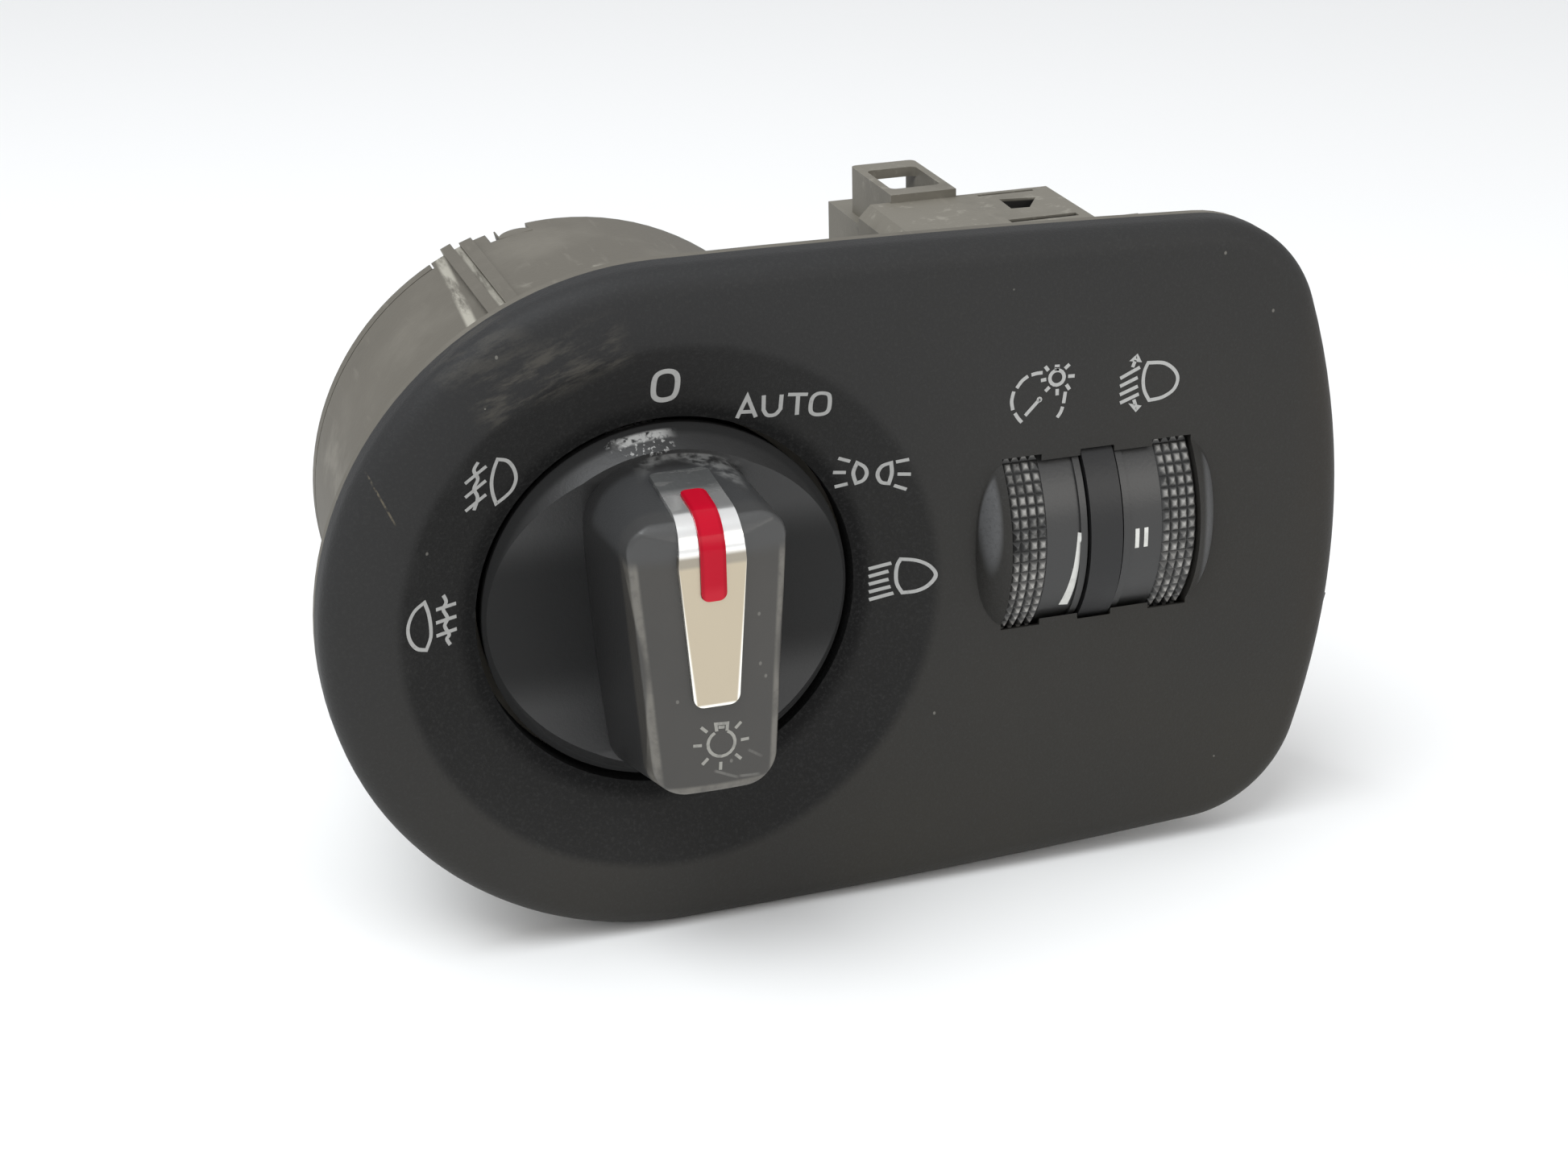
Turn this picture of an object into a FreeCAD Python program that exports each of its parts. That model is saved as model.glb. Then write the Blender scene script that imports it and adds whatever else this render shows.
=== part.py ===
import FreeCAD, Part
import math
import os

# Headlight switch with a rotary light knob and two thumbwheels behind one black fascia.
# Millimetres. X is right, Z is up and +Y is depth, into the dashboard.
# Every depth below is measured back from the fascia's front plane, on the knob's axis.
# The finished pieces move forward by SEAT_DEPTH, so the origin is the knob's axis at the seat plane,
# where the land on the carrier's flange lies on the dashboard.
# The sizes run outwards from the knob's hole, so a change there moves everything round it.

V = FreeCAD.Vector
AHEAD = V(0, 1, 0)
RIGHT = V(1, 0, 0)
NEAR = 0.1
OVER = 1.0

# Knob disc
KNOB_HOLE_RADIUS = 22.0
KNOB_HOLE_GAP = 0.8
KNOB_RADIUS = KNOB_HOLE_RADIUS - KNOB_HOLE_GAP
KNOB_BEVEL = 2.3
KNOB_FACE_RADIUS = KNOB_RADIUS - KNOB_BEVEL
KNOB_FACE_DEPTH = 1.5
KNOB_EDGE_DEPTH = 4.1
KNOB_EDGE_WALL = 0.8
KNOB_SKIRT_RADIUS = KNOB_RADIUS - 1.0
KNOB_SKIRT_WALL = 1.7
KNOB_SKIRT_BACK = 14.5
KNOB_WALL = 2.0
KNOB_RIB_WALL = 1.2
SCOOP_RADIUS = 64.0
SCOOP_DEPTH = 3.6
BOSS_RADIUS = 8.2
BOSS_BACK = 12.0

# Knob handle
HANDLE_PEAK = -15.0
HANDLE_CROWN_RADIUS = 29.0
HANDLE_TOP_FRONT = 16.3
HANDLE_TOP_FOOT = 18.2
HANDLE_END_FRONT = -14.8
HANDLE_END_FOOT = -19.0
HANDLE_HALF_WIDTH_TOP = 8.9
HANDLE_HALF_WIDTH_END = 6.7
HANDLE_FOOT_FLARE = 1.15
HANDLE_CORNER_FRONT = 2.6
HANDLE_CORNER_FOOT = 7.0
HANDLE_END_CORNER = 3.8
HANDLE_BROW = 4.0
HANDLE_EDGE = 0.8
CORE_HALF_WIDTH = 5.2
CORE_FRONT = -11.4
CORE_LOW = -11.5
CORE_HIGH = 12.6

# Trim strip and pointer on the handle
TRIM_PROUD = 0.5
TRIM_FRONT = HANDLE_PEAK - TRIM_PROUD
TRIM_WALL = 1.1
TRIM_END_Z = -4.4
TRIM_FOOT_DEPTH = -2.6
TRIM_HALF_WIDTH_END = 2.5
TRIM_HALF_WIDTH_TOP = 3.72
TRIM_HALF_WIDTH_FOOT = 3.2
TRIM_BROW = 4.2
TRIM_CORNER = 1.2
TRIM_BED = 2.0
TRIM_REACH = 6.0
POINTER_HALF_WIDTH = 1.4
POINTER_PROUD = 0.25
POINTER_END_Z = 7.9
POINTER_FOOT_DEPTH = -7.9
POINTER_CORNER = 0.9
POINTER_WALL = 1.6
POINTER_GAP = 0.03
STEM_LOW = 9.4
STEM_HIGH = 12.0

# Knob shaft
SHAFT_RADIUS = 5.9
SHAFT_FLAT = 4.6
SHAFT_GAP = 0.06
SHAFT_SOCKET_GAP = 0.02
SHAFT_BORE = 2.2
SHAFT_FRONT = 3.0
SHAFT_BACK = 43.5
LIGHT_ROD_FRONT = 1.7
GROOVE_FRONT = 40.0
GROOVE_BACK = 42.0
GROOVE_RADIUS = 4.4

# Carrier: knob well and drum
WELL_RADIUS = KNOB_SKIRT_RADIUS + 0.8
WELL_WALL = 1.6
WELL_FRONT = 8.2
CATCH_ROOM = 7.7
DRUM_WALL = 2.0
DRUM_INNER = WELL_RADIUS + WELL_WALL + CATCH_ROOM
DRUM_RADIUS = DRUM_INNER + DRUM_WALL
DRUM_BACK = 50.5
PARTITION_FRONT = 18.0
PARTITION_WALL = 2.0
PARTITION_BACK = PARTITION_FRONT + PARTITION_WALL
SHELF_WIDTH = 1.5
SHELF_FRONT = 8.3
SHELF_THICKNESS = 0.9
RIM_HEIGHT = 2.0
RIM_LEFT = (-151.0, -29.0)
RIM_RIGHT = (60.0, 151.0)
RIM_RECESS = (-13.6, -6.8)
RIM_RECESS_DEPTH = 3.4
RIM_BUMP_RADIUS = 2.1
RIM_NICK_ANGLE = -14.9
RIM_NICK_HALF_WIDTH = 0.55
DRUM_RAILS = ((-24.6, 1.4, 0.9), (-20.3, 1.6, 0.45))

# Thumbwheels, on one axle along X
WHEEL_DEPTH = 12.4
WHEEL_Z = 2.7
KNURL_RADIUS = 15.6
KNURL_HEIGHT = 0.55
KNURL_TEETH = 72
KNURL_ROWS = 4
KNURL_WIDTH = 4.25
SMOOTH_RADIUS = KNURL_RADIUS - 0.5
SMOOTH_WIDTH = 4.9
BEAD_RADIUS = KNURL_RADIUS - 0.2
BEAD_WIDTH = 0.8
WHEEL_RIM = 1.9
WHEEL_WEB = 1.3
WHEEL_WEB_INSET = 3.0
WHEEL_HUB_RADIUS = 3.4
WHEEL_GAP = 0.3
AXLE_RADIUS = 1.5
AXLE_RUNNING_GAP = 0.05
AXLE_FIT_GAP = 0.02
AXLE_SEAT = 0.6
DIVIDER_RADIUS = KNURL_RADIUS + 0.2
DIVIDER_WIDTH = 3.9
TAIL_HALF_HEIGHT = 9.0
TRACK_RECESS = 0.3
TRACK_OUTER = 11.2
TRACK_INNER = 4.6
LEAF_WALL = 0.25

# Thumbwheel module behind the flange
MODULE_WALL = 1.9
MODULE_LEFT = DRUM_RADIUS + 1.9
WHEEL_ROOM = 1.0
WHEEL_ROOM_LEFT = 2.85
WHEELS_HALF_WIDTH = DIVIDER_WIDTH / 2 + WHEEL_GAP + SMOOTH_WIDTH + KNURL_WIDTH
DIVIDER_X = MODULE_LEFT + MODULE_WALL + WHEEL_ROOM_LEFT + WHEELS_HALF_WIDTH
MODULE_RIGHT = DIVIDER_X + WHEELS_HALF_WIDTH + 0.85 + MODULE_WALL
MODULE_STEP_X = MODULE_RIGHT - 5.9
MODULE_SHELF_Z = WHEEL_Z + KNURL_RADIUS + WHEEL_ROOM + MODULE_WALL
MODULE_TOP = MODULE_SHELF_Z + 12.8
MODULE_BOTTOM = WHEEL_Z - KNURL_RADIUS - WHEEL_ROOM - MODULE_WALL
MODULE_CHAMBER_BACK = WHEEL_DEPTH + KNURL_RADIUS + WHEEL_ROOM + MODULE_WALL
MODULE_BACK = MODULE_CHAMBER_BACK + 5.1
MODULE_STEP_BACK = 20.5
MODULE_CHAMFER = 1.5
BRACKET_LEFT = MODULE_LEFT + 2.8
BRACKET_RIGHT = BRACKET_LEFT + 10.6
BRACKET_BACK = MODULE_BACK + 20.0
BRACKET_TOP = MODULE_SHELF_Z + 8.0
BRACKET_WALL = 1.4
GUSSET_WALL = 1.5
GUSSET_LENGTH = 9.0
EYE_LEFT = BRACKET_LEFT + 1.2
EYE_RIGHT = EYE_LEFT + 8.4
EYE_FRONT = MODULE_BACK + 2.2
EYE_HOLE_LENGTH = 9.3
EYE_BAR = 3.2
EYE_BACK = EYE_FRONT + EYE_HOLE_LENGTH + EYE_BAR
EYE_BAR_HEIGHT = 1.2
EYE_WALL = 1.0
EYE_TOP = MODULE_TOP + 1.0
EYE_CORNER = 0.8
LATCH_FRONT_SLOT = (22.3, 23.5)
LATCH_BACK_SLOT = (34.6, 35.2)
CLIP_REACH = 6.5
CLIP_WALL = 1.4
CLIP_LIP = 0.9
CLIP_LOW = -13.0
CLIP_HEIGHT = 6.0
CLIP_GAP = 0.1
CLIP_POCKET_GAP = 0.3

# Fascia outline, seen from the front
DISH_RADIUS = KNOB_HOLE_RADIUS + 9.5
FASCIA_HALF_HEIGHT = DISH_RADIUS + 8.0
FASCIA_RIGHT = MODULE_RIGHT + 17.7
TOP_EDGE_RADIUS = 1400.0
BOTTOM_EDGE_RADIUS = 1140.0
RIGHT_EDGE_RADIUS = 90.0
CORNER_RADIUS = 15.0

# Fascia section
FASCIA_WALL = 2.2
FASCIA_DEPTH = 5.0
FASCIA_ROLL = 3.0
DISH_DEPTH = 3.6
DISH_HOLLOW = 0.35
BACKING_FRONT = 0.5
COLLAR_WALL = 2.0
COLLAR_BACK = 7.2

# Window in the fascia for the wheels
WINDOW_HALF_WIDTH = WHEELS_HALF_WIDTH + 0.25
WINDOW_HALF_HEIGHT = 9.7
NOTCH_HALF_HEIGHT = 10.55
NOTCH_WIDTH = 4.8
MIDDLE_NOTCH_WIDTH = 4.1
WINDOW_CLEAR = 0.4
CHEEK_RADIUS = KNURL_RADIUS + 0.3
CHEEK_WIDTH = 3.1
CHEEK_FALL = 3.3
CHEEK_FULLNESS = 0.75

# Flange behind the fascia, with the raised land that lies on the dashboard
FLANGE_WALL = 1.1
FLANGE_BACK = FASCIA_DEPTH + FLANGE_WALL
FLANGE_INSET = 0.1
LAND_HEIGHT = 0.4
LAND_INSET = 2.0
SEAT_DEPTH = FLANGE_BACK + LAND_HEIGHT
SPIGOT_HEIGHT = 1.6
SPIGOT_GAP = 0.3
SPIGOT_WALL = 1.2

# Snap hooks from the fascia through the flange: place and direction in degrees
HOOK_WIDTH = 4.0
HOOK_WALL = 1.4
HOOK_BARB = 0.7
HOOK_LIFT = 1.6
HOOK_SEAT_GAP = 0.05
HOOK_GAP = 0.3
HOOK_REACH = (FASCIA_HALF_HEIGHT - 4.5) * math.sqrt(0.5)
HOOK_PLACES = (
    (-HOOK_REACH, HOOK_REACH, 135.0),
    (-HOOK_REACH, -HOOK_REACH, 225.0),
    (FASCIA_RIGHT - 12.0, FASCIA_HALF_HEIGHT - 11.7, 40.0),
    (FASCIA_RIGHT - 12.0, 12.5 - FASCIA_HALF_HEIGHT, -40.0),
)

# Side hook at the right end, behind the fascia
SIDE_HOOK_LOW = -15.9
SIDE_HOOK_HIGH = -13.3
SIDE_HOOK_REACH = 2.9
SIDE_HOOK_TAPER = 0.7
SIDE_HOOK_ROOT = 3.4
SIDE_HOOK_WALL = 1.8
SIDE_HOOK_LENGTH = 9.0

# Light guide behind the printed symbols, and the lamps that feed it
LIGHT_RING_OUTER = DRUM_INNER - 0.3
LIGHT_RING_INNER = LIGHT_RING_OUTER - 4.8
LIGHT_RING_FRONT = 6.2
LIGHT_PIPE_RADIUS = 1.2
LIGHT_PIPE_REACH = LIGHT_RING_INNER + 0.2
LIGHT_PIPE_ANGLES = (45.0, 225.0)
LIGHT_PIPE_GAP = 0.3
LAMP_HEIGHT = 1.2
LAMP_HALF_WIDTH = 1.3

# Rotary part of the switch
DETENT_RING_GAP = 0.1
DETENT_RING_OUTER = DRUM_INNER - DETENT_RING_GAP
DETENT_RING_INNER = DETENT_RING_OUTER - 2.4
DETENT_STEP = 30.0
DETENT_STOPS = 4
BALL_RADIUS = 1.5
BALL_CLEAR = 0.2
BALL_POCKET_GAP = 0.15
BALL_REACH = DETENT_RING_INNER - BALL_CLEAR - BALL_RADIUS
BALL_DEPTH = PARTITION_BACK + 4.2
BALL_POCKET = 8.0
BALL_SPRING_WIRE = 0.4
ROTOR_NECK_RADIUS = 10.0
ROTOR_GAP = 0.05
ROTOR_FRONT = 16.0
ROTOR_FLANGE_FRONT = PARTITION_BACK + 0.3
ROTOR_FLANGE_RADIUS = DETENT_RING_INNER - 4.8
ROTOR_FLANGE_WALL = 2.0
ROTOR_HUB_RADIUS = 14.0
ROTOR_BACK = 28.0
ROTOR_ARM_HALF_WIDTH = 3.0
ROTOR_ARM_REACH = BALL_REACH + 0.3
PUSH_WASHER_WALL = 1.9

# Switch board with its tracks and wipers; angles are clockwise from the top
BOARD_FRONT = 30.4
BOARD_WALL = 1.6
BOARD_BACK = BOARD_FRONT + BOARD_WALL
BOARD_RADIUS = DRUM_INNER - 0.8
BOARD_HOLE_RADIUS = 7.2
SWITCH_TRACK_WALL = 0.15
SWITCH_TRACK_RADII = (12.6, 15.6, 18.6)
SWITCH_TRACK_HALF_WIDTH = 1.0
SWITCH_TRACK_SPANS = ((-90.0, 40.0), (-70.0, 20.0), (-100.0, 55.0))
WIPER_WALL = 0.3
WIPER_FAN = (278.0, 314.0)
WIPER_TURN = 110.0
WIPER_TIP = 5.0

# Pull slider for the fog lamp stages
SLIDER_GAP = 0.12
SLIDER_HALF_WIDTH = 9.4
SLIDER_GUIDE_WIDTH = 2.4
SLIDER_LOW = -5.0
SLIDER_GUIDE_LOW = 1.5
SLIDER_HIGH = 9.5

# Rear cap with the main socket
CAP_GAP = 0.1
CAP_PARTING_GAP = 0.25
CAP_PLATE_FRONT = DRUM_BACK - 4.5
CAP_PLATE_WALL = 2.0
CAP_SKIRT_WALL = 1.6
CAP_POST_RADIUS = 1.6
CAP_POST_REACH = BOARD_RADIUS - 3.5
CAP_GUIDE_WALL = 1.8
MAIN_SOCKET_HALF_WIDTH = 15.5
MAIN_SOCKET_HALF_HEIGHT = 5.4
MAIN_SOCKET_Z = -15.0
MAIN_SOCKET_FLOOR = 40.0
MAIN_SOCKET_BACK = 52.5
MAIN_PIN_COLUMNS = 8
MAIN_PIN_PITCH = 3.5
MAIN_PIN_ROW = 2.2
MAIN_PIN_LENGTH = 6.5
SOCKET_KEY_X = 9.5
SOCKET_KEY_HALF_WIDTH = 0.8
SOCKET_WALL = 1.5
PIN_SIDE = 0.64
PIN_GAP = 0.05
PIN_BOARD_GAP = 0.02

# Sockets and board of the thumbwheel module
MODULE_BOARD_FRONT = 12.5
MODULE_BOARD_WALL = 1.2
MODULE_PIN_PITCH = 2.6
MODULE_PIN_ROW = 1.9
MODULE_PIN_RISE = 5.4
MODULE_PIN_LENGTH = 8.0

# Lock catch at the bottom of the drum
CATCH_HALF_HEIGHT = 4.0
CATCH_FRONT = 9.5
CATCH_BACK = 17.8
CATCH_REACH = 3.0
CATCH_INNER = DRUM_RADIUS - 6.6
CATCH_GAP = 0.15
CATCH_POCKET = 4.4
CATCH_MIDDLE = (CATCH_FRONT + CATCH_BACK) / 2
CATCH_RAIL_WALL = 1.4
CATCH_SPRING_RADIUS = 1.5
CATCH_SPRING_WIRE = 0.5


# Simple solids

def rod(radius, front, back, x=0.0, z=0.0):
    return Part.makeCylinder(radius, back - front, V(x, front, z), AHEAD)


def tube(outer, inner, front, back, x=0.0, z=0.0):
    return rod(outer, front, back, x, z).cut(rod(inner, front - OVER, back + OVER, x, z))


def cross_rod(radius, left, right, depth=WHEEL_DEPTH, z=WHEEL_Z):
    return Part.makeCylinder(radius, right - left, V(left, depth, z), RIGHT)


def block(left, right, front, back, low, high):
    return Part.makeBox(right - left, back - front, high - low, V(left, front, low))


def flat_face(corners, radii=None):
    # A flat face; with radii each corner is rounded by its own radius, or left sharp by 0.
    if radii is None:
        return Part.Face(Part.makePolygon(corners + corners[:1]))
    turns = []
    for index, corner in enumerate(corners):
        back = (corners[index - 1] - corner).normalize()
        ahead = (corners[(index + 1) % len(corners)] - corner).normalize()
        half = back.getAngle(ahead) / 2
        reach = radii[index] / math.tan(half)
        bisector = (back + ahead).normalize()
        middle = corner + bisector * (radii[index] / math.sin(half) - radii[index])
        turns.append((corner + back * reach, middle, corner + ahead * reach))
    edges = []
    for index, (start, middle, end) in enumerate(turns):
        if radii[index] > 0:
            edges.append(Part.Arc(start, middle, end).toShape())
        edges.append(Part.makeLine(end, turns[(index + 1) % len(turns)][0]))
    return Part.Face(Part.Wire(edges))


def prism(points, front, back, radii=None):
    return flat_face([V(x, front, z) for x, z in points], radii).extrude(V(0, back - front, 0))


def side_prism(points, left, right, radii=None):
    return flat_face([V(left, depth, z) for depth, z in points], radii).extrude(V(right - left, 0, 0))


def plan_prism(points, low, high, radii=None):
    return flat_face([V(x, depth, low) for x, depth in points], radii).extrude(V(0, 0, high - low))


def turned(points):
    return flat_face([V(radius, depth, 0) for radius, depth in points]).revolve(V(0, 0, 0), AHEAD, 360)


def wheel_turned(points):
    face = flat_face([V(x, WHEEL_DEPTH, WHEEL_Z + radius) for radius, x in points])
    return face.revolve(V(0, WHEEL_DEPTH, WHEEL_Z), RIGHT, 360)


def sector(outer, inner, front, back, start, end):
    # Angles are clockwise from the top, seen from the front.
    section = flat_face([V(0, front, inner), V(0, front, outer), V(0, back, outer), V(0, back, inner)])
    section.rotate(V(0, 0, 0), AHEAD, start)
    return section.revolve(V(0, 0, 0), AHEAD, end - start)


def around(shape, angle):
    copy = shape.copy()
    copy.rotate(V(0, 0, 0), AHEAD, angle)
    return copy


def fused(first, *others):
    whole = first.fuse(list(others)) if others else first
    return whole.removeSplitter()


def rounded(shape, radius, test):
    return shape.makeFillet(radius, [edge for edge in shape.Edges if test(edge)])


def along_depth(edge):
    box = edge.BoundBox
    return box.XLength < NEAR and box.ZLength < NEAR


def along_height(edge):
    box = edge.BoundBox
    return box.XLength < NEAR and box.YLength < NEAR


def leaf_outline(path, wall):
    # The closed outline of a bent leaf of even thickness along its middle line.
    runs = [(V(end[0], end[1], 0) - V(start[0], start[1], 0)).normalize() for start, end in zip(path, path[1:])]
    normals = [V(-run.y, run.x, 0) for run in runs]
    upper, lower = [], []
    for index, point in enumerate(path):
        before = normals[max(index - 1, 0)]
        after = normals[min(index, len(normals) - 1)]
        mitre = (before + after) * (wall / 2 / (1 + before.dot(after)))
        upper.append((point[0] + mitre.x, point[1] + mitre.y))
        lower.append((point[0] - mitre.x, point[1] - mitre.y))
    return upper + lower[::-1]


def coil(radius, wire, start, end, turns, centre):
    # A round-wire spring along X, closed at both ends.
    pitch = (end - start - wire) / turns
    helix = Part.makeHelix(pitch, pitch * turns, radius - wire / 2)
    profile = Part.Wire([Part.makeCircle(wire / 2, V(radius - wire / 2, 0, 0), V(0, 1, 0))])
    spring = Part.Wire(helix).makePipeShell([profile], True, False)
    spring.rotate(V(0, 0, 0), V(0, 1, 0), 90)
    spring.translate(V(start + wire / 2, centre[0], centre[1]))
    return spring


# Fascia

def circle_meeting(centre_a, radius_a, centre_b, radius_b, upper):
    gap_x = centre_b[0] - centre_a[0]
    gap_z = centre_b[1] - centre_a[1]
    gap = math.hypot(gap_x, gap_z)
    along = (radius_a ** 2 - radius_b ** 2 + gap ** 2) / (2 * gap)
    across = math.sqrt(radius_a ** 2 - along ** 2)
    middle = (centre_a[0] + along * gap_x / gap, centre_a[1] + along * gap_z / gap)
    options = [(middle[0] + side * across * gap_z / gap, middle[1] - side * across * gap_x / gap)
               for side in (1, -1)]
    options = [point for point in options if point[0] > 0]
    return max(options, key=lambda point: point[1]) if upper else min(options, key=lambda point: point[1])


def outline_solid(inset, front, back):
    half = FASCIA_HALF_HEIGHT - inset
    right_centre = (FASCIA_RIGHT - RIGHT_EDGE_RADIUS, 0.0)
    right_radius = RIGHT_EDGE_RADIUS - inset
    top_centre = (0.0, FASCIA_HALF_HEIGHT - TOP_EDGE_RADIUS)
    top_radius = TOP_EDGE_RADIUS - inset
    bottom_centre = (0.0, BOTTOM_EDGE_RADIUS - FASCIA_HALF_HEIGHT)
    bottom_radius = BOTTOM_EDGE_RADIUS - inset
    top_corner = circle_meeting(top_centre, top_radius, right_centre, right_radius, True)
    bottom_corner = circle_meeting(bottom_centre, bottom_radius, right_centre, right_radius, False)

    def at(point):
        return V(point[0], front, point[1])

    def on_circle(centre, radius, x, upper):
        rise = math.sqrt(radius ** 2 - (x - centre[0]) ** 2)
        return (x, centre[1] + rise if upper else centre[1] - rise)

    arcs = [
        Part.Arc(V(0, front, -half), V(-half, front, 0), V(0, front, half)),
        Part.Arc(V(0, front, half), at(on_circle(top_centre, top_radius, top_corner[0] / 2, True)),
                 at(top_corner)),
        Part.Arc(at(top_corner), V(right_centre[0] + right_radius, front, 0), at(bottom_corner)),
        Part.Arc(at(bottom_corner),
                 at(on_circle(bottom_centre, bottom_radius, bottom_corner[0] / 2, False)),
                 V(0, front, -half)),
    ]
    wire = Part.Wire([arc.toShape() for arc in arcs])
    plate = Part.Face(wire).extrude(V(0, back - front, 0))
    corner_x = min(top_corner[0], bottom_corner[0]) - OVER
    return rounded(plate, CORNER_RADIUS - inset,
                   lambda edge: along_depth(edge) and edge.BoundBox.XMin > corner_x)


def dish_cut():
    rim = V(DISH_RADIUS, 0, 0)
    floor = V(KNOB_HOLE_RADIUS, DISH_DEPTH, 0)
    middle = (rim + floor) * 0.5 + V(-DISH_HOLLOW, DISH_HOLLOW, 0)
    edges = [
        Part.makeLine(V(0, -OVER, 0), V(DISH_RADIUS, -OVER, 0)),
        Part.makeLine(V(DISH_RADIUS, -OVER, 0), rim),
        Part.Arc(rim, middle, floor).toShape(),
        Part.makeLine(floor, V(0, DISH_DEPTH, 0)),
        Part.makeLine(V(0, DISH_DEPTH, 0), V(0, -OVER, 0)),
    ]
    return Part.Face(Part.Wire(edges)).revolve(V(0, 0, 0), AHEAD, 360)


def dish_backing():
    collar = KNOB_HOLE_RADIUS + COLLAR_WALL
    inner = KNOB_HOLE_RADIUS - OVER
    outer = DISH_RADIUS + FASCIA_WALL
    return turned([(inner, BACKING_FRONT), (outer, BACKING_FRONT), (outer, FASCIA_WALL),
                   (collar, DISH_DEPTH + FASCIA_WALL), (collar, COLLAR_BACK), (inner, COLLAR_BACK)])


def wheel_window():
    low = WHEEL_Z - WINDOW_HALF_HEIGHT
    high = WHEEL_Z + WINDOW_HALF_HEIGHT
    left = DIVIDER_X - WINDOW_HALF_WIDTH
    right = DIVIDER_X + WINDOW_HALF_WIDTH
    notch_low = WHEEL_Z - NOTCH_HALF_HEIGHT
    notch_high = WHEEL_Z + NOTCH_HALF_HEIGHT
    middle = MIDDLE_NOTCH_WIDTH / 2
    window = block(left, right, -OVER, FASCIA_DEPTH, low, high)
    notches = [block(start, end, -OVER, FASCIA_DEPTH, notch_low, notch_high)
               for start, end in ((left, left + NOTCH_WIDTH), (DIVIDER_X - middle, DIVIDER_X + middle),
                                  (right - NOTCH_WIDTH, right))]
    return fused(window, *notches)


def wheel_clearance():
    # The window's inner edges follow the wheels, so that they turn clear of the fascia.
    left = DIVIDER_X - WINDOW_HALF_WIDTH
    right = DIVIDER_X + WINDOW_HALF_WIDTH
    knurl = KNURL_RADIUS + WINDOW_CLEAR
    half = DIVIDER_WIDTH / 2 + WHEEL_GAP / 2
    return fused(cross_rod(BEAD_RADIUS + WINDOW_CLEAR, left, right), cross_rod(knurl, left, left + NOTCH_WIDTH),
                 cross_rod(knurl, right - NOTCH_WIDTH, right),
                 cross_rod(DIVIDER_RADIUS + WINDOW_CLEAR, DIVIDER_X - half, DIVIDER_X + half))


def cheek(side):
    # The full, rounded swelling of the fascia beside the wheels.
    inner = DIVIDER_X + side * WINDOW_HALF_WIDTH
    outer = inner + side * CHEEK_WIDTH
    middle = inner + side * CHEEK_WIDTH / 2

    def at(x, radius):
        return V(x, WHEEL_DEPTH, WHEEL_Z + radius)

    edges = [
        Part.makeLine(at(inner, 0), at(inner, CHEEK_RADIUS)),
        Part.Arc(at(inner, CHEEK_RADIUS), at(middle, CHEEK_RADIUS - CHEEK_FALL / 2 + CHEEK_FULLNESS),
                 at(outer, CHEEK_RADIUS - CHEEK_FALL)).toShape(),
        Part.makeLine(at(outer, CHEEK_RADIUS - CHEEK_FALL), at(outer, 0)),
        Part.makeLine(at(outer, 0), at(inner, 0)),
    ]
    bulge = Part.Face(Part.Wire(edges)).revolve(V(0, WHEEL_DEPTH, WHEEL_Z), RIGHT, 360)
    reach = CHEEK_RADIUS
    return bulge.common(block(min(inner, outer) - OVER, max(inner, outer) + OVER, -reach, FASCIA_WALL / 2,
                              WHEEL_Z - reach, WHEEL_Z + reach))


def fascia_hook(x, z, turn):
    # A finger that stands back from the fascia and snaps behind the flange.
    base = FASCIA_WALL - NEAR
    tip = FLANGE_BACK + HOOK_LIFT
    seat = FLANGE_BACK + HOOK_SEAT_GAP
    finger = side_prism([(base, 0), (tip, 0), (tip, HOOK_WALL * 0.6), (seat, HOOK_WALL + HOOK_BARB),
                         (seat, HOOK_WALL), (base, HOOK_WALL)], -HOOK_WIDTH / 2, HOOK_WIDTH / 2)
    finger.rotate(V(0, 0, 0), AHEAD, 90 - turn)
    finger.translate(V(x, 0, z))
    return finger


def make_fascia():
    shell = outline_solid(0, 0, FASCIA_DEPTH)
    shell = rounded(shell, FASCIA_ROLL, lambda edge: edge.BoundBox.YMax < NEAR)
    shell = shell.cut(outline_solid(FASCIA_WALL, FASCIA_WALL, FASCIA_DEPTH + OVER))
    hooks = [fascia_hook(*place) for place in HOOK_PLACES]
    shell = fused(shell, dish_backing(), *hooks)
    shell = shell.cut(dish_cut()).cut(rod(KNOB_HOLE_RADIUS, -OVER, COLLAR_BACK + OVER))
    return fused(shell.cut([wheel_window(), wheel_clearance()]), cheek(-1), cheek(1))


# Carrier: flange, drum, partition and knob well

def rim_notches():
    # The V-shaped nick and the recess with its round bump at the drum's rear rim.
    floor = DRUM_BACK - RIM_RECESS_DEPTH
    recess = sector(DRUM_RADIUS + OVER, DRUM_INNER - OVER, floor, DRUM_BACK + OVER, *RIM_RECESS)
    nick = block(-RIM_NICK_HALF_WIDTH, RIM_NICK_HALF_WIDTH, floor, DRUM_BACK + OVER,
                 DRUM_INNER - OVER, DRUM_RADIUS + OVER)
    bump = Part.makeCylinder(RIM_BUMP_RADIUS, DRUM_WALL, V(0, floor, DRUM_INNER), V(0, 0, 1))
    wide = RIM_BUMP_RADIUS + OVER
    bump = bump.cut(block(-wide, wide, 0, floor - NEAR, 0, DRUM_RADIUS + OVER))
    return recess, around(nick, RIM_NICK_ANGLE), around(bump, sum(RIM_RECESS) / 2)


def drum_rail(angle, width, height):
    rail = block(-width / 2, width / 2, FLANGE_BACK, DRUM_BACK, DRUM_RADIUS - 0.5, DRUM_RADIUS + height)
    return around(rail, angle)


def catch_window():
    reach = CATCH_HALF_HEIGHT + CATCH_GAP
    return block(-reach, reach, CATCH_FRONT - CATCH_GAP, PARTITION_FRONT, -DRUM_RADIUS - OVER,
                 -DRUM_INNER + OVER)


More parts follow.
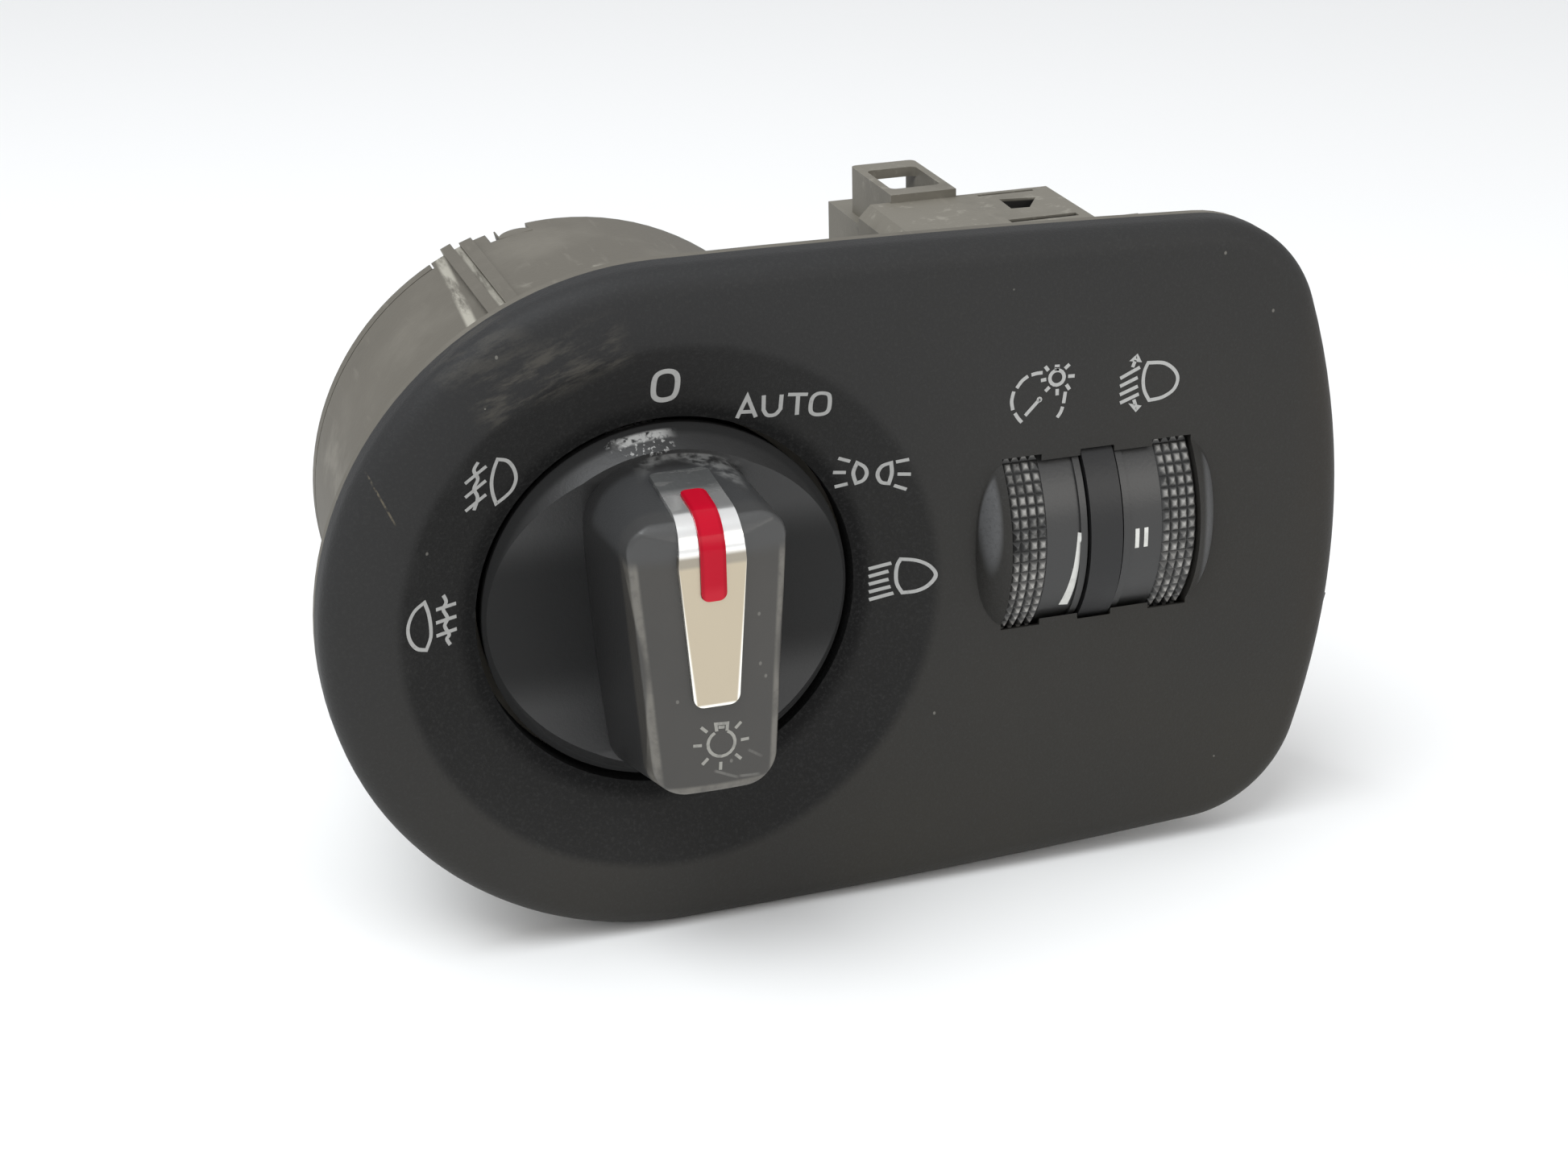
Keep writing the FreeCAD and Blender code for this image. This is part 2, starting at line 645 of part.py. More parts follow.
def catch_rails():
    inner = WELL_RADIUS + WELL_WALL / 2
    outer = DRUM_INNER + DRUM_WALL / 3
    low = CATCH_HALF_HEIGHT + CATCH_GAP
    rails = [block(start, start + CATCH_RAIL_WALL, CATCH_FRONT, PARTITION_FRONT + 0.5, -outer, -inner)
             for start in (low, -low - CATCH_RAIL_WALL)]
    return [rail.common(rod(DRUM_RADIUS - 0.5, 0, DRUM_BACK)) for rail in rails]


def side_hook():
    # The barb that shows just past the fascia's right edge.
    root = FASCIA_RIGHT - SIDE_HOOK_ROOT
    wall = root + SIDE_HOOK_WALL
    tip = FASCIA_RIGHT + SIDE_HOOK_REACH
    end = FLANGE_BACK + SIDE_HOOK_LENGTH
    points = [(root, FLANGE_BACK - 0.5), (wall, FLANGE_BACK - 0.5), (wall, FLANGE_BACK + 1.6),
              (tip, FLANGE_BACK + 2.2), (tip, FLANGE_BACK + 3.0), (wall + 0.2, end), (root, end)]
    hook = plan_prism(points, SIDE_HOOK_LOW, SIDE_HOOK_HIGH)
    low = SIDE_HOOK_LOW - NEAR
    high = SIDE_HOOK_HIGH + NEAR
    taper = [(root - OVER, low), (tip - SIDE_HOOK_TAPER, low), (tip, high), (root - OVER, high)]
    return hook.common(prism(taper, FASCIA_DEPTH, end + OVER))


def seat_land():
    # The raised edge of the flange's back, open where the side hook crosses it.
    land = outline_solid(FLANGE_INSET, FLANGE_BACK - NEAR, SEAT_DEPTH)
    land = land.cut(outline_solid(LAND_INSET, FASCIA_DEPTH, SEAT_DEPTH + OVER))
    root = FASCIA_RIGHT - SIDE_HOOK_ROOT - OVER
    return land.cut(block(root, FASCIA_RIGHT + OVER, FASCIA_DEPTH, SEAT_DEPTH + OVER,
                          SIDE_HOOK_LOW - OVER, SIDE_HOOK_HIGH + OVER))


def clip_pocket(side):
    wall = MODULE_LEFT if side < 0 else MODULE_RIGHT
    back = FLANGE_BACK + CLIP_REACH
    edges = sorted((wall + side * OVER, wall - side * (CLIP_LIP + CLIP_GAP)))
    return block(edges[0], edges[1], back - 2.2, back + CLIP_POCKET_GAP, CLIP_LOW - CLIP_POCKET_GAP,
                 CLIP_LOW + CLIP_HEIGHT + CLIP_POCKET_GAP)


def module_clip(side):
    # An arm behind the flange that holds the thumbwheel module by its side.
    wall = MODULE_LEFT if side < 0 else MODULE_RIGHT
    face = wall + side * CLIP_GAP
    outer = face + side * CLIP_WALL
    back = FLANGE_BACK + CLIP_REACH
    points = [(face, FLANGE_BACK - 0.5), (outer, FLANGE_BACK - 0.5), (outer, back), (face, back),
              (face - side * CLIP_LIP, back - 1.9), (face, back - 1.9)]
    return plan_prism(points, CLIP_LOW, CLIP_LOW + CLIP_HEIGHT)


def make_carrier():
    flange = outline_solid(FLANGE_INSET, FASCIA_DEPTH, FLANGE_BACK)
    spigot_inset = FASCIA_WALL + SPIGOT_GAP
    spigot = outline_solid(spigot_inset, FASCIA_DEPTH - SPIGOT_HEIGHT, FASCIA_DEPTH + NEAR)
    spigot = spigot.cut(outline_solid(spigot_inset + SPIGOT_WALL, 0, SEAT_DEPTH))
    drum = rod(DRUM_RADIUS, FASCIA_DEPTH, DRUM_BACK)
    rails = [drum_rail(*rail) for rail in DRUM_RAILS]
    body = fused(flange, seat_land(), spigot, drum, side_hook(), module_clip(-1), module_clip(1), *rails)
    body = body.cut([rod(DRUM_INNER, 0, PARTITION_FRONT), rod(DRUM_INNER, PARTITION_BACK, DRUM_BACK + OVER)])
    well = rod(WELL_RADIUS + WELL_WALL, WELL_FRONT, PARTITION_BACK)
    shelf = tube(DRUM_INNER + 0.3, DRUM_INNER - SHELF_WIDTH, SHELF_FRONT, SHELF_FRONT + SHELF_THICKNESS)
    body = fused(body, well, shelf, *catch_rails())
    body = body.cut(rod(WELL_RADIUS, 0, PARTITION_FRONT))
    body = body.cut(rod(ROTOR_NECK_RADIUS + ROTOR_GAP, 0, PARTITION_BACK + OVER))
    recess, nick, bump = rim_notches()
    rims = [sector(DRUM_RADIUS + 2 * OVER, DRUM_INNER - OVER, DRUM_BACK - RIM_HEIGHT, DRUM_BACK + OVER, *ends)
            for ends in (RIM_LEFT, RIM_RIGHT)]
    body = body.cut([recess, nick, catch_window(), *rims]).fuse(bump)
    return body.cut(carrier_openings())


def carrier_openings():
    wheel_reach = CHEEK_RADIUS + 0.8
    openings = [block(MODULE_LEFT + MODULE_WALL, MODULE_RIGHT - MODULE_WALL, 0, FLANGE_BACK + NEAR / 10,
                      WHEEL_Z - wheel_reach, WHEEL_Z + wheel_reach)]
    for x, z, turn in HOOK_PLACES:
        slot = block(-HOOK_WIDTH / 2 - HOOK_GAP, HOOK_WIDTH / 2 + HOOK_GAP, 0, FLANGE_BACK + NEAR / 10,
                     -HOOK_GAP - HOOK_BARB, HOOK_WALL + HOOK_GAP / 2)
        slot.rotate(V(0, 0, 0), AHEAD, 90 - turn)
        slot.translate(V(x, 0, z))
        openings.append(slot)
    for x, z in light_pipe_places():
        openings.append(rod(LIGHT_PIPE_RADIUS + LIGHT_PIPE_GAP, LIGHT_RING_FRONT, PARTITION_BACK + OVER, x, z))
    return openings


# Light guide and lamps

def light_pipe_places():
    return [(LIGHT_PIPE_REACH * math.sin(math.radians(angle)), LIGHT_PIPE_REACH * math.cos(math.radians(angle)))
            for angle in LIGHT_PIPE_ANGLES]


def make_light_guide():
    ring = tube(LIGHT_RING_OUTER, LIGHT_RING_INNER, LIGHT_RING_FRONT, SHELF_FRONT - 0.05)
    pipe_back = BOARD_FRONT - LAMP_HEIGHT - 0.2
    pipes = [rod(LIGHT_PIPE_RADIUS, LIGHT_RING_FRONT + 0.5, pipe_back, x, z) for x, z in light_pipe_places()]
    return fused(ring, *pipes)


def make_symbol_lamps():
    half = LAMP_HALF_WIDTH
    lamps = [block(x - half, x + half, BOARD_FRONT - LAMP_HEIGHT, BOARD_FRONT, z - half, z + half)
             for x, z in light_pipe_places()]
    return Part.makeCompound(lamps)


# Rear cap with the main socket

def square_pin(x, z, front, back, gap=0.0):
    half = PIN_SIDE / 2 + gap
    return block(x - half, x + half, front, back, z - half, z + half)


def main_pin_places():
    return [((column - (MAIN_PIN_COLUMNS - 1) / 2) * MAIN_PIN_PITCH, MAIN_SOCKET_Z + side * MAIN_PIN_ROW)
            for side in (-1, 1) for column in range(MAIN_PIN_COLUMNS)]


def make_end_cap():
    outer = DRUM_INNER - CAP_GAP
    plate = rod(outer, CAP_PLATE_FRONT, CAP_PLATE_FRONT + CAP_PLATE_WALL)
    skirt = tube(outer, outer - CAP_SKIRT_WALL, CAP_PLATE_FRONT + OVER, DRUM_BACK)
    rims = [sector(DRUM_RADIUS, outer - CAP_SKIRT_WALL, DRUM_BACK - RIM_HEIGHT + CAP_PARTING_GAP, DRUM_BACK,
                   start + 0.4, end - 0.4) for start, end in (RIM_LEFT, RIM_RIGHT)]
    half_width = MAIN_SOCKET_HALF_WIDTH + SOCKET_WALL
    half_height = MAIN_SOCKET_HALF_HEIGHT + SOCKET_WALL
    shroud = block(-half_width, half_width, MAIN_SOCKET_FLOOR - SOCKET_WALL, MAIN_SOCKET_BACK,
                   MAIN_SOCKET_Z - half_height, MAIN_SOCKET_Z + half_height)
    post = rod(CAP_POST_RADIUS, BOARD_BACK + 0.05, CAP_PLATE_FRONT + 0.5, 0, CAP_POST_REACH)
    posts = [around(post, angle) for angle in (0, 120, 240)]
    inner = SLIDER_HALF_WIDTH + 0.3
    guides = [block(left, left + CAP_GUIDE_WALL, BOARD_BACK + 0.3, CAP_PLATE_FRONT + 0.5,
                    SLIDER_GUIDE_LOW - 0.5, SLIDER_HIGH + 0.5) for left in (-inner - CAP_GUIDE_WALL, inner)]
    cap = fused(plate, skirt, shroud, *rims, *posts, *guides)
    top = MAIN_SOCKET_Z + MAIN_SOCKET_HALF_HEIGHT
    cavity = block(-MAIN_SOCKET_HALF_WIDTH, MAIN_SOCKET_HALF_WIDTH, MAIN_SOCKET_FLOOR, MAIN_SOCKET_BACK + OVER,
                   MAIN_SOCKET_Z - MAIN_SOCKET_HALF_HEIGHT, top)
    keys = [block(x - SOCKET_KEY_HALF_WIDTH, x + SOCKET_KEY_HALF_WIDTH, MAIN_SOCKET_FLOOR + 1.0,
                  MAIN_SOCKET_BACK, top - 1.0, top + 0.5) for x in (-SOCKET_KEY_X, SOCKET_KEY_X)]
    pins = [square_pin(x, z, MAIN_SOCKET_FLOOR - 3 * OVER, MAIN_SOCKET_FLOOR + OVER, PIN_GAP)
            for x, z in main_pin_places()]
    return fused(cap.cut(cavity), *keys).cut(pins)


def make_terminal_pins():
    return Part.makeCompound([square_pin(x, z, BOARD_FRONT + 0.1, MAIN_SOCKET_FLOOR + MAIN_PIN_LENGTH)
                              for x, z in main_pin_places()])


def make_switch_board():
    board = rod(BOARD_RADIUS, BOARD_FRONT, BOARD_BACK)
    holes = [square_pin(x, z, BOARD_FRONT - OVER, BOARD_BACK + OVER, PIN_BOARD_GAP)
             for x, z in main_pin_places()]
    return board.cut([rod(BOARD_HOLE_RADIUS, BOARD_FRONT - OVER, BOARD_BACK + OVER), *holes])


def make_switch_tracks():
    # Contact tracks on the board's front, swept by the rotor's wipers.
    tracks = [sector(radius + SWITCH_TRACK_HALF_WIDTH, radius - SWITCH_TRACK_HALF_WIDTH,
                     BOARD_FRONT - SWITCH_TRACK_WALL, BOARD_FRONT, *span)
              for radius, span in zip(SWITCH_TRACK_RADII, SWITCH_TRACK_SPANS)]
    return Part.makeCompound(tracks)


# Rotor and detent

def shaft_section(gap, front, back):
    flat = SHAFT_FLAT + gap
    radius = SHAFT_RADIUS + gap
    return rod(radius, front, back).common(block(-flat, flat, front, back, -radius - OVER, radius + OVER))


def make_rotor():
    neck = rod(ROTOR_NECK_RADIUS, ROTOR_FRONT, ROTOR_FLANGE_FRONT + OVER)
    flange = rod(ROTOR_FLANGE_RADIUS, ROTOR_FLANGE_FRONT, ROTOR_FLANGE_FRONT + ROTOR_FLANGE_WALL)
    hub = rod(ROTOR_HUB_RADIUS, ROTOR_FLANGE_FRONT, ROTOR_BACK)
    reach = ROTOR_ARM_REACH
    half = ROTOR_ARM_HALF_WIDTH
    arms = block(-reach, reach, ROTOR_FLANGE_FRONT, ROTOR_BACK - 1.0, -half, half)
    rotor = fused(neck, flange, hub, arms)
    pocket = BALL_RADIUS + BALL_POCKET_GAP
    pockets = [cross_rod(pocket, start, start + BALL_POCKET + OVER, BALL_DEPTH, 0)
               for start in (-reach - OVER, reach - BALL_POCKET)]
    relief = tube(SWITCH_TRACK_RADII[0] - 1.6, SHAFT_RADIUS + 2.4, ROTOR_FLANGE_FRONT + 3.2, ROTOR_BACK + OVER)
    return rotor.cut([shaft_section(SHAFT_GAP, ROTOR_FRONT - OVER, ROTOR_BACK + OVER), relief, *pockets])


def make_detent_balls():
    return Part.makeCompound([Part.makeSphere(BALL_RADIUS, V(side * BALL_REACH, BALL_DEPTH, 0))
                              for side in (-1, 1)])


def make_detent_springs():
    start = ROTOR_ARM_REACH - BALL_POCKET + 0.05
    end = BALL_REACH - BALL_RADIUS + 0.1
    spring = coil(BALL_RADIUS - 0.1, BALL_SPRING_WIRE, start, end, 5, (BALL_DEPTH, 0))
    return Part.makeCompound([spring, around(spring, 180)])


def make_detent_ring():
    front = PARTITION_BACK + 0.02
    ring = tube(DETENT_RING_OUTER, DETENT_RING_INNER, front, BOARD_FRONT - 0.02)
    notch = rod(BALL_RADIUS + 0.5, front - OVER, BOARD_FRONT + OVER, BALL_REACH + 0.3, 0)
    return ring.cut([around(notch, -(stop * DETENT_STEP + side))
                     for stop in range(DETENT_STOPS) for side in (0, 180)])


def make_rotor_wipers():
    # A fan on the rotor's back face with three leaves bent down on to the tracks.
    front = ROTOR_BACK + 0.03
    back = front + WIPER_WALL
    touch = BOARD_FRONT - SWITCH_TRACK_WALL - 0.05
    fan = sector(SWITCH_TRACK_RADII[-1] + 1.0, SWITCH_TRACK_RADII[0] - 1.3, front, back, *WIPER_FAN)
    leaves = []
    for radius in SWITCH_TRACK_RADII:
        low = -math.sqrt(radius ** 2 - WIPER_TIP ** 2)
        points = [(-1.0, front), (1.0, front), (WIPER_TIP - 0.8, touch - WIPER_WALL),
                  (WIPER_TIP + 0.6, touch - WIPER_WALL), (WIPER_TIP + 0.6, touch), (WIPER_TIP - 0.9, touch),
                  (0.9, back), (-1.0, back)]
        leaves.append(around(plan_prism(points, low - 0.8, low + 0.8), WIPER_TURN))
    return fused(fan, *leaves)


def make_push_washer():
    return tube(ROTOR_NECK_RADIUS - 0.8, SHAFT_RADIUS + 0.8, ROTOR_FRONT - PUSH_WASHER_WALL, ROTOR_FRONT - 0.02)


# Knob

def handle_section(depth):
    share = (depth - HANDLE_PEAK) / (SCOOP_DEPTH - HANDLE_PEAK)
    top = HANDLE_TOP_FRONT + (HANDLE_TOP_FOOT - HANDLE_TOP_FRONT) * share
    end = HANDLE_END_FRONT + (HANDLE_END_FOOT - HANDLE_END_FRONT) * share
    flare = HANDLE_FOOT_FLARE * share
    wide = HANDLE_HALF_WIDTH_TOP + flare
    slim = HANDLE_HALF_WIDTH_END + flare
    corner = HANDLE_CORNER_FRONT + (HANDLE_CORNER_FOOT - HANDLE_CORNER_FRONT) * share
    corners = [V(-wide, depth, top), V(wide, depth, top), V(slim, depth, end), V(-slim, depth, end)]
    return flat_face(corners, (corner, corner, HANDLE_END_CORNER, HANDLE_END_CORNER)).OuterWire


def brow_path(front, brow, offset, end_z, foot_depth):
    # The outer line of the handle's front face and top slope, in depth and height.
    lean = (HANDLE_TOP_FOOT - HANDLE_TOP_FRONT) / (SCOOP_DEPTH - HANDLE_PEAK)
    top_at_front = HANDLE_TOP_FRONT + lean * (front - HANDLE_PEAK) + TRIM_PROUD - offset
    turn = math.pi / 2 - math.atan(lean)
    tangent = brow * math.tan(turn / 2)
    slope_length = math.hypot(1, lean)
    start = V(0, front, end_z)
    bend = V(0, front, top_at_front - tangent)
    after = V(0, front + tangent / slope_length, top_at_front + tangent * lean / slope_length)
    centre = V(0, front + brow, top_at_front - tangent)
    half = (bend + after) * 0.5 - centre
    middle = centre + half * (brow / half.Length)
    foot = V(0, foot_depth, top_at_front + lean * (foot_depth - front))
    return start, bend, middle, after, foot


def handle_profile():
    low = 2 * HANDLE_END_FOOT
    start, bend, middle, after, foot = brow_path(HANDLE_PEAK, HANDLE_BROW, 0, low, SCOOP_DEPTH + 2 * OVER)
    edges = [
        Part.makeLine(start, bend),
        Part.Arc(bend, middle, after).toShape(),
        Part.makeLine(after, foot),
        Part.makeLine(foot, V(0, foot.y, low)),
        Part.makeLine(V(0, foot.y, low), start),
    ]
    profile = Part.Face(Part.Wire(edges)).extrude(V(2 * KNOB_RADIUS, 0, 0))
    profile.translate(V(-KNOB_RADIUS, 0, 0))
    return profile


def make_handle():
    sections = [handle_section(HANDLE_PEAK - OVER), handle_section(SCOOP_DEPTH + OVER)]
    solid = Part.makeLoft(sections, True, True)
    crown = Part.makeCylinder(HANDLE_CROWN_RADIUS, 4 * KNOB_RADIUS,
                              V(0, HANDLE_PEAK + HANDLE_CROWN_RADIUS, -2 * KNOB_RADIUS), V(0, 0, 1))
    solid = solid.common(crown).common(handle_profile())
    return rounded(solid, HANDLE_EDGE, lambda edge: edge.BoundBox.YMax < HANDLE_PEAK + 1.5 * HANDLE_BROW)


def scoop():
    # One wide hollow across the disc, which the handle fills in its middle.
    reach = 2 * KNOB_RADIUS
    return cross_rod(SCOOP_RADIUS, -reach, reach, SCOOP_DEPTH - SCOOP_RADIUS, 0)


def make_knob_cap():
    edge_back = KNOB_EDGE_DEPTH + KNOB_EDGE_WALL
    disc = turned([(0, KNOB_FACE_DEPTH), (KNOB_FACE_RADIUS, KNOB_FACE_DEPTH), (KNOB_RADIUS, KNOB_EDGE_DEPTH),
                   (KNOB_RADIUS, edge_back), (KNOB_SKIRT_RADIUS, edge_back + 0.3),
                   (KNOB_SKIRT_RADIUS, KNOB_SKIRT_BACK), (0, KNOB_SKIRT_BACK)])
    handle = make_handle().common(rod(KNOB_RADIUS - 0.4, 2 * HANDLE_PEAK, KNOB_EDGE_DEPTH))
    knob = fused(disc.cut(scoop()), handle)
    floor = SCOOP_DEPTH + KNOB_WALL
    hollow = rod(KNOB_SKIRT_RADIUS - KNOB_SKIRT_WALL, floor, KNOB_SKIRT_BACK + OVER)
    boss = rod(BOSS_RADIUS, floor - NEAR, BOSS_BACK)
    reach = KNOB_SKIRT_RADIUS - 1.0
    half = KNOB_RIB_WALL / 2
    ribs = [block(-reach, reach, floor - NEAR, BOSS_BACK - 2.0, -half, half),
            block(-half, half, floor - NEAR, BOSS_BACK - 2.0, -reach, reach)]
    knob = fused(knob.cut(hollow), boss, *ribs)
    core = block(-CORE_HALF_WIDTH, CORE_HALF_WIDTH, CORE_FRONT, floor + NEAR, CORE_LOW, CORE_HIGH)
    socket = shaft_section(SHAFT_SOCKET_GAP, SHAFT_FRONT, BOSS_BACK + OVER)
    return knob.cut([core, socket, trim_recess(), pointer_body(POINTER_GAP), pointer_stem(POINTER_GAP)])


def strip_along_brow(wall, offset, end_z, foot_depth):
    outer = brow_path(TRIM_FRONT + offset, TRIM_BROW - offset, offset, end_z, foot_depth)
    inner = brow_path(TRIM_FRONT + offset + wall, TRIM_BROW - offset - wall, offset + wall, end_z, foot_depth)
    edges = [
        Part.makeLine(outer[0], outer[1]),
        Part.Arc(outer[1], outer[2], outer[3]).toShape(),
        Part.makeLine(outer[3], outer[4]),
        Part.makeLine(outer[4], inner[4]),
        Part.makeLine(inner[4], inner[3]),
        Part.Arc(inner[3], inner[2], inner[1]).toShape(),
        Part.makeLine(inner[1], inner[0]),
        Part.makeLine(inner[0], outer[0]),
    ]
    strip = Part.Face(Part.Wire(edges)).extrude(V(2 * TRIM_REACH, 0, 0))
    strip.translate(V(-TRIM_REACH, 0, 0))
    return strip


def trim_views(gap):
    # The strip's outline from the front, and from above where its upper end is rounded.
    end = TRIM_HALF_WIDTH_END + gap
    top = TRIM_HALF_WIDTH_TOP + gap
    foot = TRIM_HALF_WIDTH_FOOT + gap
    low = TRIM_END_Z - gap
    high = HANDLE_TOP_FOOT + OVER
    brow_z = HANDLE_TOP_FRONT - TRIM_BROW
    ahead = TRIM_FRONT - 3 * OVER
    front = prism([(-end, low), (-top, brow_z), (-foot, high), (foot, high), (top, brow_z), (end, low)],
                  ahead, SCOOP_DEPTH, (TRIM_CORNER, 0, 0, 0, 0, TRIM_CORNER))
    back = TRIM_FOOT_DEPTH + gap
    above = plan_prism([(-TRIM_REACH, ahead), (TRIM_REACH, ahead), (foot + NEAR, back), (-foot - NEAR, back)],
                       low - OVER, high + OVER, (0, 0, TRIM_CORNER, TRIM_CORNER))
    return front.common(above)


def trim_recess():
    bed = strip_along_brow(TRIM_WALL + TRIM_BED, -TRIM_BED, TRIM_END_Z - OVER, TRIM_FOOT_DEPTH + OVER)
    return bed.common(trim_views(POINTER_GAP))


def pointer_body(gap):
    half = POINTER_HALF_WIDTH + gap
    low = POINTER_END_Z - gap
    back = POINTER_FOOT_DEPTH + gap
    high = HANDLE_TOP_FOOT + OVER
    ahead = TRIM_FRONT - 3 * OVER
    strip = strip_along_brow(POINTER_WALL + gap, -POINTER_PROUD, low - OVER, back + OVER)
    front = prism([(-half, low), (half, low), (half, high), (-half, high)], ahead, SCOOP_DEPTH,
                  (POINTER_CORNER, POINTER_CORNER, 0, 0))
    above = plan_prism([(-half, ahead), (half, ahead), (half, back), (-half, back)], low - OVER, high + OVER,
                       (0, 0, POINTER_CORNER, POINTER_CORNER))
    return strip.common(front).common(above)


def pointer_stem(gap):
    # The foot of the lens that takes light through the handle's wall.
    half = POINTER_HALF_WIDTH - 0.4 + gap
    return block(-half, half, TRIM_FRONT + 1.0, CORE_FRONT + 0.3 + gap, STEM_LOW - gap, STEM_HIGH + gap)


def make_knob_trim():
    strip = strip_along_brow(TRIM_WALL, 0, TRIM_END_Z - OVER, TRIM_FOOT_DEPTH + OVER).common(trim_views(0))
    return strip.cut(pointer_body(POINTER_GAP))


def make_pointer_lens():
    return fused(pointer_body(0), pointer_stem(0))


def make_knob_shaft():
    shaft = shaft_section(0, SHAFT_FRONT + 0.05, SHAFT_BACK)
    groove = tube(SHAFT_RADIUS + OVER, GROOVE_RADIUS, GROOVE_FRONT, GROOVE_BACK)
    return shaft.cut([groove, rod(SHAFT_BORE, 0, SHAFT_BACK + OVER)])


def make_pointer_light_rod():
    return rod(SHAFT_BORE - 0.05, LIGHT_ROD_FRONT, SHAFT_BACK - 1.0)


def make_knob_light_guide():
    # A slanted clear bar inside the handle, from the rod's end up to the pointer's foot.
    half = SHAFT_BORE - 0.6
    front = CORE_FRONT + 0.4
    back = LIGHT_ROD_FRONT - 0.1
    top = CORE_HIGH - 0.4
    return side_prism([(back, -SHAFT_BORE), (back, SHAFT_BORE), (front + 1.0, top), (front, top),
                       (front, STEM_LOW - 0.4)], -half, half)


# Pull slider

def make_fog_slider():
    front = GROOVE_FRONT - 1.3
    back = GROOVE_BACK + 1.6
    reach = SLIDER_HALF_WIDTH
    fork = block(-reach, reach, GROOVE_FRONT + SLIDER_GAP, GROOVE_BACK - SLIDER_GAP,
                 SLIDER_LOW, SLIDER_HIGH - 0.5)
    guides = [block(start, start + SLIDER_GUIDE_WIDTH, front, back, SLIDER_GUIDE_LOW, SLIDER_HIGH)
              for start in (-reach, reach - SLIDER_GUIDE_WIDTH)]
    throat = GROOVE_RADIUS + SLIDER_GAP
    slot = fused(rod(throat, front - OVER, back + OVER),
                 block(-throat, throat, front - OVER, back + OVER, SLIDER_LOW - OVER, 0))
    return fused(fork, *guides).cut(slot)


def make_fog_wiper():
    front = GROOVE_FRONT + 0.2
    half = SLIDER_HALF_WIDTH - SLIDER_GUIDE_WIDTH - 1.5
    low = SLIDER_HIGH - 0.45
    return block(-half, half, front, front + 1.4, low, low + WIPER_WALL)


# Lock catch

def make_lock_catch():
    outer = DRUM_RADIUS + CATCH_REACH
    nose = [(CATCH_FRONT, -CATCH_INNER), (CATCH_FRONT, -outer), (CATCH_FRONT + 1.4, -outer),
            (CATCH_BACK, -DRUM_RADIUS + 0.4), (CATCH_BACK, -CATCH_INNER)]
    catch = side_prism(nose, -CATCH_HALF_HEIGHT, CATCH_HALF_HEIGHT)
    pocket = Part.makeCylinder(CATCH_SPRING_RADIUS + 0.2, CATCH_POCKET + OVER,
                               V(0, CATCH_MIDDLE, -CATCH_INNER - CATCH_POCKET))
    return catch.cut(pocket)


def make_catch_spring():
    start = -CATCH_INNER - CATCH_POCKET + 0.05
    end = -(WELL_RADIUS + WELL_WALL) - 0.05
    spring = coil(CATCH_SPRING_RADIUS, CATCH_SPRING_WIRE, start, end, 6, (0, 0))
    spring.rotate(V(0, 0, 0), V(0, 1, 0), -90)
    spring.translate(V(0, CATCH_MIDDLE, 0))
    return spring


# Thumbwheels

def knurled_band(left, right):
    # Rows of small pyramids round the rim, built cell by cell with every face turned outwards.
    root = KNURL_RADIUS - KNURL_HEIGHT
    floor = root - 0.9
    pitch = (right - left) / KNURL_ROWS
    step = 2 * math.pi / KNURL_TEETH

    def at(x, angle, radius):
        return V(x, WHEEL_DEPTH - radius * math.cos(angle), WHEEL_Z + radius * math.sin(angle))

    faces = []
    for tooth in range(KNURL_TEETH):
        low = tooth * step
        high = low + step
        for row in range(KNURL_ROWS):
            near = left + row * pitch
            far = near + pitch
            peak = at((near + far) / 2, low + step / 2, KNURL_RADIUS)
            ring = [at(near, low, root), at(far, low, root), at(far, high, root), at(near, high, root)]
            faces += [flat_face([ring[corner], ring[(corner + 1) % 4], peak]) for corner in range(4)]
        inner_left = [at(left, low, floor), at(left, high, floor)]
        inner_right = [at(right, low, floor), at(right, high, floor)]
        outer_left = [at(left, low, root), at(left, high, root)]
        outer_right = [at(right, low, root), at(right, high, root)]
        faces.append(flat_face(inner_left + inner_right[::-1]))
        faces.append(flat_face(outer_left + inner_left[::-1]))
        faces.append(flat_face(inner_right + outer_right[::-1]))
    shell = Part.makeShell(faces)
    shell.sewShape()
    return Part.makeSolid(shell)


def wheel_body(near, side):
    # near is the face beside the divider, and the wheel runs outwards from it by side.
    bead_end = near + side * BEAD_WIDTH
    smooth_end = near + side * SMOOTH_WIDTH
    far = smooth_end + side * KNURL_WIDTH
    web_near = near + side * WHEEL_WEB_INSET
    web_far = web_near + side * WHEEL_WEB
    seat = KNURL_RADIUS - KNURL_HEIGHT - 0.5
    rim = SMOOTH_RADIUS - WHEEL_RIM
    bore = AXLE_RADIUS + AXLE_RUNNING_GAP
    hub_far = far - side * 0.2
    body = wheel_turned([
        (bore, near), (WHEEL_HUB_RADIUS, near), (WHEEL_HUB_RADIUS, web_near), (rim, web_near), (rim, near),
        (BEAD_RADIUS, near), (BEAD_RADIUS, bead_end), (SMOOTH_RADIUS, bead_end), (SMOOTH_RADIUS, smooth_end),
        (seat, smooth_end), (seat, far), (rim, far), (rim, web_far), (WHEEL_HUB_RADIUS, web_far),
        (WHEEL_HUB_RADIUS, hub_far), (bore, hub_far)])
    return body.fuse(knurled_band(min(smooth_end, far), max(smooth_end, far)))


def wheel_near(side):
    return DIVIDER_X + side * (DIVIDER_WIDTH / 2 + WHEEL_GAP)


def make_wheel_axle():
    axle = cross_rod(AXLE_RADIUS, MODULE_LEFT + AXLE_SEAT, MODULE_RIGHT - AXLE_SEAT)
    return axle.makeChamfer(AXLE_RADIUS / 5, [edge for edge in axle.Edges if edge.BoundBox.XLength < NEAR])


